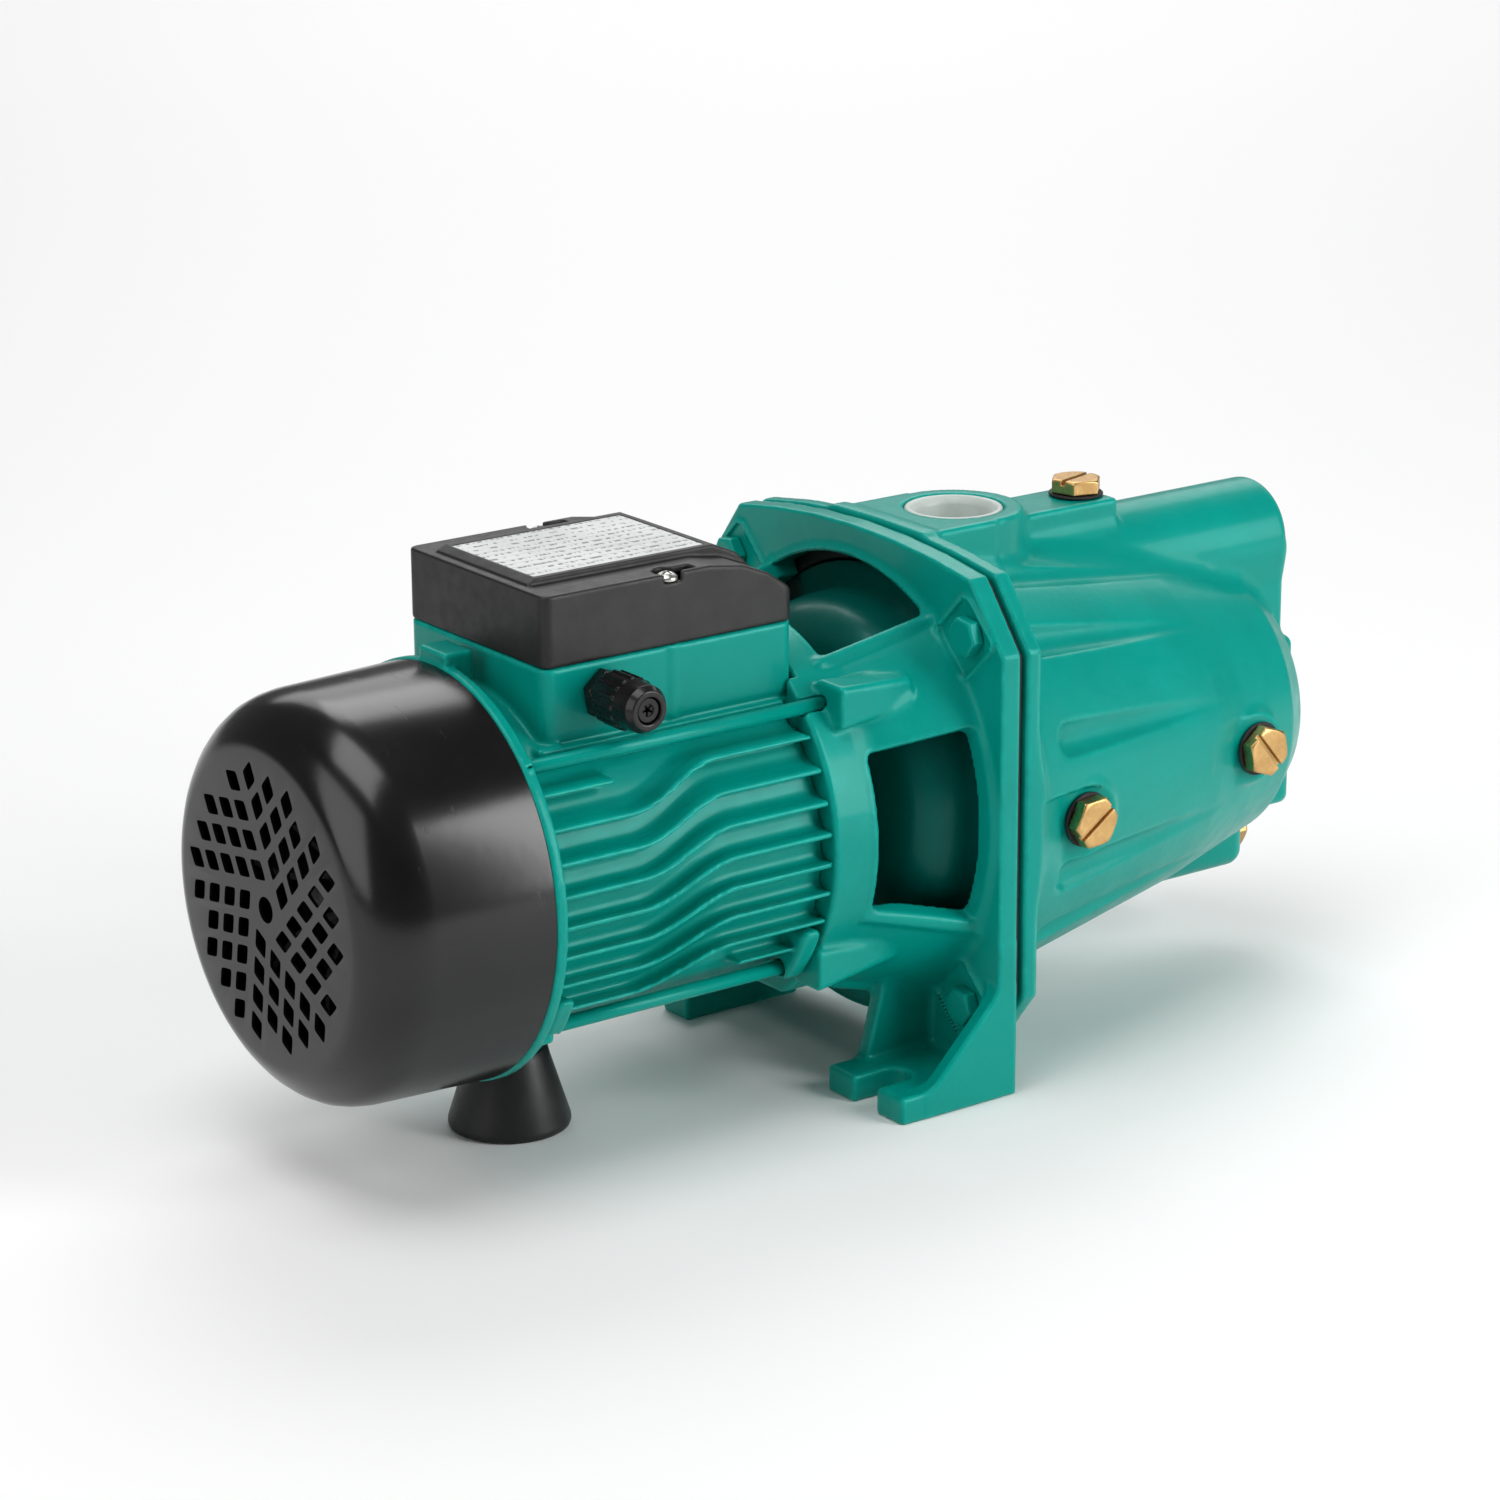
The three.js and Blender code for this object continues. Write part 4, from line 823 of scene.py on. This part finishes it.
def foil_label():
    """Silver foil with faint printed rules and unreadable rows of marks."""
    paint = Paint("label_print", Metallic=0.55)
    split = paint.node("ShaderNodeSeparateXYZ", {"Vector": paint.at})
    low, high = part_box("rating_label")
    across = paint.span(split.outputs["Y"], low.y, high.y)
    along = paint.span(split.outputs["X"], low.x, high.x)

    def stripes(value, count, share, shift=0.0):
        wave = paint.math("ADD", paint.math("MULTIPLY", value, count), shift)
        return paint.math("LESS_THAN", paint.math("FRACT", wave), share)

    rows = stripes(across, 11, 0.34, 0.4)
    dashes = paint.span(paint.noise(560, 1, 0.5, (1, 0.5, 1)), 0.5, 0.54)
    body = paint.math("LESS_THAN", across, 0.72)
    rules = paint.math("MULTIPLY", stripes(across, 11, 0.035), body)
    columns = paint.math("MULTIPLY", stripes(along, 4, 0.008), body)
    ink = paint.math("MAXIMUM", paint.math("MULTIPLY", rows, dashes), rules)
    ink = paint.math("MAXIMUM", ink, columns)
    silver = paint.blend(paint.cloud(30), (0.50, 0.51, 0.51), (0.60, 0.61, 0.61))
    paint.set("Base Color", paint.blend(ink, silver, (0.16, 0.18, 0.18)))
    paint.set("Roughness", paint.cloud(90, 4, 0.32, 0.5))
    paint.bump((paint.noise(300, 3), 0.02))
    return paint.material


MATERIALS = {
    "cast_iron_paint": enamel("enamel_on_cast_iron", 0.05, 0.16),
    "aluminium_paint": enamel("enamel_on_die_casting", 0.02, 0.08),
    "steel_paint": enamel("enamel_on_steel", 0.02, 0.06),
    "black_sheet": black_sheet(),
    "black_plastic": moulded("black_moulded_plastic", (0.011, 0.0107, 0.0105), 0.46, 0.012),
    "black_rubber": moulded("black_rubber", (0.010, 0.010, 0.010), 0.62, 0.01, 900),
    "brass": metal("turned_brass", (0.60, 0.385, 0.155), (0.44, 0.26, 0.10), 0.32),
    "steel": metal("zinc_plated_steel", (0.62, 0.62, 0.60), (0.45, 0.45, 0.42), 0.3),
    "laminate": metal("stacked_laminations", (0.30, 0.31, 0.32), (0.20, 0.20, 0.21), 0.45,
                      (8, 0.3, 0.3), 0.05),
    "copper": metal("lacquered_copper", (0.52, 0.20, 0.09), (0.36, 0.12, 0.05), 0.4, (0.3, 6, 6), 0.12),
    "white_plastic": milky(),
    "ceramic": moulded("lapped_ceramic", (0.70, 0.66, 0.58), 0.25, 0.004),
    "label_foil": foil_label(),
}

GLOSSY = moulded("glossy_black_nylon", (0.004, 0.004, 0.004), 0.24, 0.006)
FINISHES = {
    # The shaft's steel is darkened as painted shade, so its end deep inside the fan cover reads dark.
    "turned_shaft": metal("shaft_steel_darkened_as_shade", (0.10, 0.10, 0.10), (0.05, 0.05, 0.05), 0.4),
    "fan_clip": metal("blued_spring_steel", (0.05, 0.05, 0.055), (0.03, 0.03, 0.03), 0.45),
    "cooling_fan": moulded("black_fan_nylon", (0.004, 0.004, 0.004), 0.7, 0.01),
    "gland_hex_body": GLOSSY,
    "gland_dome_nut": GLOSSY,
    # The seal plate's enamel is darkened to a third as painted shade inside the lantern.
    "painted_seal_plate": enamel("enamel_in_shade", 0.05, 0.1, 0.33),
    "rubber_foot_cone": moulded("smooth_black_rubber", (0.006, 0.006, 0.006), 0.4, 0.01, 900),
}

# ---- pieces


def in_metres(points):
    """Row-frame points in metres from stations and heights in millimetres."""
    return ((np.asarray(points, float) + (ORIGIN, 0, 0)) / 1000).tolist()


def link_new(name, data):
    thing = bpy.data.objects.new(name, data)
    bpy.context.scene.collection.objects.link(thing)
    return thing


def build_mesh(name, points, faces, slot, body, replaced, matrix=None):
    """A smooth-shaded piece from points in millimetres, with its own finish or its slot's."""
    points = np.asarray(points, float)
    if matrix is not None:
        points = points @ np.array(matrix.to_3x3()).T + np.array(matrix.translation)
    mesh = bpy.data.meshes.new(name)
    mesh.from_pydata(in_metres(points), [], [tuple(f) for f in faces])
    mesh.shade_smooth()
    mesh.materials.append(FINISHES.get(name, MATERIALS[slot]))
    piece = link_new(name, mesh)
    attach(piece, body)
    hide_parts(*replaced)
    return piece


def frame_along(place, direction, roll=0.0):
    """The matrix that puts a piece drawn along +z at a place, facing a direction."""
    turn = Vector((0, 0, 1)).rotation_difference(Vector(direction)).to_matrix().to_4x4()
    return Matrix.Translation(place) @ turn @ Matrix.Rotation(math.radians(roll), 4, "Z")


CASTINGS = {
    # node: (name, field, spans of x, y and z, step of the grid, slot)
    "pump_casing": ("painted_pump_casing", casing, ((193, 382), (-90, 90), (4, 199)), 1.25,
                    "cast_iron_paint"),
    "lantern_bracket": ("painted_lantern", lantern, ((117, 192), (-90, 90), (-1, 199)), 1.05,
                        "cast_iron_paint"),
    "motor_housing": ("painted_motor_housing", housing, ((4, 125), (-75, 75), (29, 182)), 1.0,
                      "aluminium_paint"),
    "rear_endshield": ("painted_rear_endshield", endshield, ((-13, 13), (-77, 77), (25, 182)), 1.0,
                       "aluminium_paint"),
    "flange_gasket": ("rubber_flange_gasket", gasket, ((190, 194), (-90, 90), (9, 199)), 0.8,
                      "black_rubber"),
    "terminal_lid": ("moulded_terminal_lid", lid, ((17, 125), (-44, 44), (180, 210)), 0.7, "black_plastic"),
}
for node, (name, field, spans, step, slot) in CASTINGS.items():
    points, faces = surface(field, spans, step)
    build_mesh(name, points, faces, slot, "pump", [node])


def turned(name, profile, axis, centre, slot, body, replaced, segments=96, matrix=None):
    """A closed profile of (distance along the axis, radius) pairs, turned about the axis."""
    points, faces, rings = [], [], []
    for s, r in profile:
        if r == 0:
            rings.append([len(points)] * segments)
            points.append((s, 0, 0))
            continue
        rings.append(list(range(len(points), len(points) + segments)))
        for k in range(segments):
            a = 2 * math.pi * k / segments
            points.append((s, r * math.cos(a), r * math.sin(a)))
    on_axis = profile[0][1] == 0
    pairs = list(zip(rings, rings[1:])) + ([] if on_axis else [(rings[-1], rings[0])])
    for first, second in pairs:
        for k in range(segments):
            n = (k + 1) % segments
            face = list(dict.fromkeys([first[k], second[k], second[n], first[n]]))
            if len(face) > 2:
                faces.append(face)
    order = {"x": (0, 1, 2), "z": (1, 2, 0)}[axis]
    points = np.array(points)[:, order] + centre
    return build_mesh(name, points, faces, slot, body, replaced, matrix)


def small(name, field, spans, step, slot, body, replaced, place, direction, roll=0.0):
    """A piece from a field that is drawn along +z, put in its place."""
    points, faces = surface(field, spans, step)
    return build_mesh(name, points, faces, slot, body, replaced, frame_along(place, direction, roll))


AXIS = (0, 0, H)  # a centre on the shaft's axis
UP, NEAR, AHEAD = (0, 0, 1), (0, -1, 0), (1, 0, 0)
PLUGS = {
    "priming": ((PRIMING["x"], 0, PRIMING["top"]), UP, 15),
    "side_rear": (SIDE_PLUGS[0], NEAR, 35),
    "side_front": (SIDE_PLUGS[1], NEAR, -50),
    "drain": ((DRAIN["span"][1], 0, DRAIN["z"]), AHEAD, 0),
}
WASHER = [(0.4, 6.8), (0.4, 10.1), (0.7, 10.4), (1.1, 10.4), (1.4, 10.1), (1.4, 6.8)]
for key, (place, direction, roll) in PLUGS.items():
    small(f"brass_{key}_plug", plug, ((-11, 11), (-11, 11), (-13, 8)), 0.35, "brass",
          f"{key}_screw", [f"{key}_plug"], place, direction, roll)
    turned(f"rubber_{key}_washer", WASHER, "z", (0, 0, 0), "black_rubber", f"{key}_seal",
           [f"{key}_washer"], 48, frame_along(place, direction))

for key, y, z in (("upper_near", -1, 1), ("upper_far", 1, 1), ("lower_near", -1, -1), ("lower_far", 1, -1)):
    place = (FLANGE[0], y * BOLT[0], H + z * BOLT[1])
    small(f"painted_bolt_{key}", flange_bolt, ((-8, 8), (-8, 8), (-19, 6)), 0.5, "steel_paint", "pump",
          [f"flange_bolt_{key}"], place, (-1, 0, 0), 8 * y)

for key, side in (("near", -1), ("far", 1)):
    small(f"zinc_lid_screw_{key}", lid_screw, ((-5, 5), (-5, 5), (-28, 4)), 0.22, "steel", "pump",
          [f"lid_screw_{key}"], (LID_SCREW[0], side * LID_SCREW[1], 203.3), UP, 20)

gland_place = (GLAND[0], -BOX["half"], GLAND[1])
for name, field, spans, step, node, slot in (
    ("gland_hex_body", gland_body, ((-10, 10), (-10, 10), (-10, 16)), 0.35, "gland_body", "black_plastic"),
    ("gland_dome_nut", gland_nut, ((-10, 10), (-10, 10), (5, 28)), 0.3, "gland_nut", "black_plastic"),
    ("gland_rubber_insert", gland_seal, ((-5, 5), (-5, 5), (15, 27)), 0.2, "gland_seal", "black_rubber"),
):
    small(name, field, spans, step, slot, "pump", [node], gland_place, NEAR, 10)


def ring_of(count):
    """Points evenly round the unit circle, as pairs."""
    return [polar(1, 360 / count * i) for i in range(count)]


SHEET = 1.3
GRILLE = {"centre_r": 4.7, "pitch": 10.6, "hole": 7.2, "rows": (5, 4, 3, 1), "turn": 261, "start": 14.0}
HOLE_POINTS = 24
HOLE_POWER = 9  # how square the holes are
COVER_OUTER = [
    (COVER_BACK, 0), (COVER_BACK, 55.5), (-68.7, 57.5), (-67.8, 59.9), (-66, 62.7), (-63.2, 66),
    (-59.6, 69), (-55.4, 71.4), (-50.8, 72.8), (-46, 73.5), (0, 75),
]


def inside_of(profile, thickness):
    """The profile moved inwards by the sheet's thickness, in reverse order."""
    moved = []
    for i, (s, r) in enumerate(profile):
        before, after = profile[max(i - 1, 0)], profile[min(i + 1, len(profile) - 1)]
        ds, dr = after[0] - before[0], after[1] - before[1]
        size = math.hypot(ds, dr)
        moved.append((s + thickness * dr / size, max(0, r - thickness * ds / size) if r else 0))
    return moved[::-1]


def spoke(degrees):
    return np.array(polar(1, 180 - degrees))


def grille_outlines():
    """A centre hole and five wedges of diamond holes, as outlines in y and height."""
    outlines = [[(GRILLE["centre_r"] * u, GRILLE["centre_r"] * v) for u, v in ring_of(HOLE_POINTS)]]
    half = GRILLE["hole"] / 2
    for k in range(5):
        first = GRILLE["turn"] + 72 * k
        along, across = spoke(first + 72), spoke(first)
        start = spoke(first - 9) * GRILLE["start"]
        for row, count in enumerate(GRILLE["rows"]):
            for i in range(count):
                centre = start + GRILLE["pitch"] * (i * along + row * across)
                outline = []
                for u, v in ring_of(HOLE_POINTS):
                    size = (abs(u) ** HOLE_POWER + abs(v) ** HOLE_POWER) ** (1 / HOLE_POWER)
                    outline.append(tuple(centre + half * (u * along + v * across) / size))
                outlines.append(outline)
    return outlines


def grille_cutter():
    """The grille's holes as one mesh of prisms."""
    points, faces = [], []
    for outline in grille_outlines():
        base, n = len(points), len(outline)
        area = sum(a[0] * b[1] - a[1] * b[0] for a, b in zip(outline, outline[1:] + outline[:1]))
        outline = outline if area > 0 else outline[::-1]
        points += [(x, y, z + H) for x in (COVER_BACK - 4, COVER_BACK + 6) for y, z in outline]
        faces.append([base + i for i in reversed(range(n))])
        faces.append([base + n + i for i in range(n)])
        faces += [[base + i, base + (i + 1) % n, base + n + (i + 1) % n, base + n + i] for i in range(n)]
    mesh = bpy.data.meshes.new("grille_cutter")
    mesh.from_pydata(in_metres(points), [], faces)
    return link_new("grille_cutter", mesh)


cover = turned("enamelled_fan_cover", COVER_OUTER + inside_of(COVER_OUTER, SHEET), "x", AXIS, "black_sheet",
               "pump", ["fan_cover"], 160)
cutter = grille_cutter()
punch = cover.modifiers.new("punch", "BOOLEAN")
punch.operation = "DIFFERENCE"
punch.solver = "EXACT"
punch.object = cutter
baked = bpy.data.meshes.new_from_object(cover.evaluated_get(bpy.context.evaluated_depsgraph_get()))
cover.modifiers.clear()
cover.data = baked
bpy.data.objects.remove(cutter)
cover.data.shade_smooth()
cover.data.set_sharp_from_angle(angle=math.radians(35))

FOOT_CONE = [(0, 8), (0, 20.8), (0.5, 21.8), (1.6, 22.2), (3, 22.1), (26, 15), (29.6, 14.1), (30.2, 13.4),
             (30.2, 3.5), (12, 3.5), (12, 8)]
turned("rubber_foot_cone", FOOT_CONE, "z", (FOOT["x"], 0, 0), "black_rubber", "pump", ["rubber_foot"])

for (y, z), key in zip(RODS, ("upper_near", "upper_far", "lower_near", "lower_far")):
    end = (UPPER_LUG if z > H else LOWER_LUG)[0] + 12
    profile = [(3.3, 0), (3.3, ROD_R - 0.4), (3.7, ROD_R), (end, ROD_R), (end, 0)]
    turned(f"painted_tie_rod_{key}", profile, "x", (0, y, z), "steel_paint", "pump", [f"tie_rod_{key}"], 32)

SEAL_PLATE = [
    (160, 17), (160, 47), (160.5, 51.5), (162, 56.5), (165, 61.5), (169, 65.2), (174, 67.6), (182, 69),
    (191, 69.5), (191, 79), (193, 79), (193, 64), (182, 63.6), (173, 62.2), (168, 57), (165, 48), (165, 17),
]
turned("painted_seal_plate", SEAL_PLATE, "x", AXIS, "cast_iron_paint", "pump", ["seal_plate"])

CAP = [
    (-17, 0), (-17, 14.4), (-16.4, 15), (0.3, 15), (0.3, 18.2), (0.6, 18.5), (1.4, 18.4), (1.9, 18),
    (2.1, 17.2), (1.9, 16.4), (1.2, 15.7), (0, 14.4), (-1, 14.1), (-14.4, 13.4), (-15.4, 12.4), (-15.4, 0),
]
for key, place, direction in (
    ("discharge", (OUTLET["x"], 0, OUTLET["top"] - CAP_SEAT[1]), UP),
    ("suction", (TUBE["front"] - CAP_SEAT[1], 0, TUBE["z"]), AHEAD),
):
    turned(f"{key}_transport_cap", CAP, "z", (0, 0, 0), "white_plastic", f"{key}_cap", [f"{key}_cap"], 72,
           frame_along(place, direction))

SHAFT = [
    (-50, 0), (-50, 5.6), (-49.6, 6), (-45.3, 6), (-45.3, 5.2), (-43.7, 5.2), (-43.7, 6), (-12, 6),
    (-12, 7.5), (4, 7.5), (4, 9.5), (118, 9.5), (118, 8.5), (135, 8.5), (135, 7), (200, 7), (200, 5),
    (208.6, 5), (209, 4.6), (209, 0),
]
SLINGER = [(146, 7.3), (146, 11), (149, 14), (151, 14), (151, 7.3)]
turned("turned_shaft", SHAFT, "x", AXIS, "steel", "rotor", ["shaft"], 48)
turned("rubber_slinger", SLINGER, "x", AXIS, "black_rubber", "rotor", ["slinger_ring"], 48)

# ---- CAD nodes that stay as they are

SLOTS = {row["node"]: row["material_slot"] for row in frame["record"]["subparts"]}
for node, thing in frame["nodes"].items():
    if thing.hide_render:
        continue
    thing.data.materials.clear()
    thing.data.materials.append(FINISHES.get(node, MATERIALS[SLOTS[node]]))

# ---- camera, floor and light


def look(thing, place, target, roll=0.0):
    """Turns a camera or lamp at place towards target, then rolls it."""
    thing.location = place
    turn = (Vector(target) - Vector(place)).to_track_quat("-Z", "Y").to_matrix()
    thing.rotation_euler = (turn @ Matrix.Rotation(math.radians(roll), 3, "Z")).to_euler()


# the photo's camera
VIEWPOINT, TARGET = in_metres([(-790.5, -1263.1, 611.8), (136, 0, 119.7)])
LENS, ROLL = 107.9, -0.30

camera = link_new("camera", bpy.data.cameras.new("camera"))
camera.data.sensor_width = 36.0
camera.data.lens = LENS
camera.data.clip_end = 30
look(camera, VIEWPOINT, TARGET, ROLL)
bpy.context.scene.camera = camera

floor_mesh = bpy.data.meshes.new("floor")
floor_mesh.from_pydata([(-6, -6, 0), (6, -6, 0), (6, 6, 0), (-6, 6, 0)], [], [(0, 1, 2, 3)])
floor = link_new("floor", floor_mesh)
plain = Paint("pale_floor", Roughness=0.7)
plain.shader.inputs["Base Color"].default_value = (0.9, 0.9, 0.9, 1)
floor_mesh.materials.append(plain.material)

LAMPS = {
    # name: (place, target, width, height, power)
    "key": ((-0.45, -0.1, 1.8), (-0.1, 0, 0.1), 1.1, 1.1, 14),
    "side": ((-1.6, -0.1, 0.8), (-0.1, 0, 0.12), 1.2, 1.3, 10),
    "band": ((0.7, -1.3, 0.7), (-0.15, 0, 0.1), 0.42, 1.3, 14),
    "front": ((1.15, -1.15, 0.5), (0.0, 0, 0.1), 0.5, 0.8, 6),
    "back": ((0.7, 1.0, 1.6), (0, 0, 0.1), 1.0, 0.7, 5),
    "backdrop": ((2.0, 2.6, 1.9), (2.0, 2.6, 0), 3.6, 3.6, 75),
}
for name, (place, target, width, height, power) in LAMPS.items():
    lamp = link_new(f"{name}_light", bpy.data.lights.new(f"{name}_light", "AREA"))
    lamp.data.shape = "RECTANGLE"
    lamp.data.size, lamp.data.size_y = width, height
    lamp.data.energy = power
    look(lamp, place, target)

world = bpy.data.worlds.new("studio")
bpy.context.scene.world = world
world.use_nodes = True
world.node_tree.nodes["Background"].inputs["Color"].default_value = (1, 1, 1, 1)
world.node_tree.nodes["Background"].inputs["Strength"].default_value = 0.14

bpy.context.scene.view_settings.view_transform = "Standard"
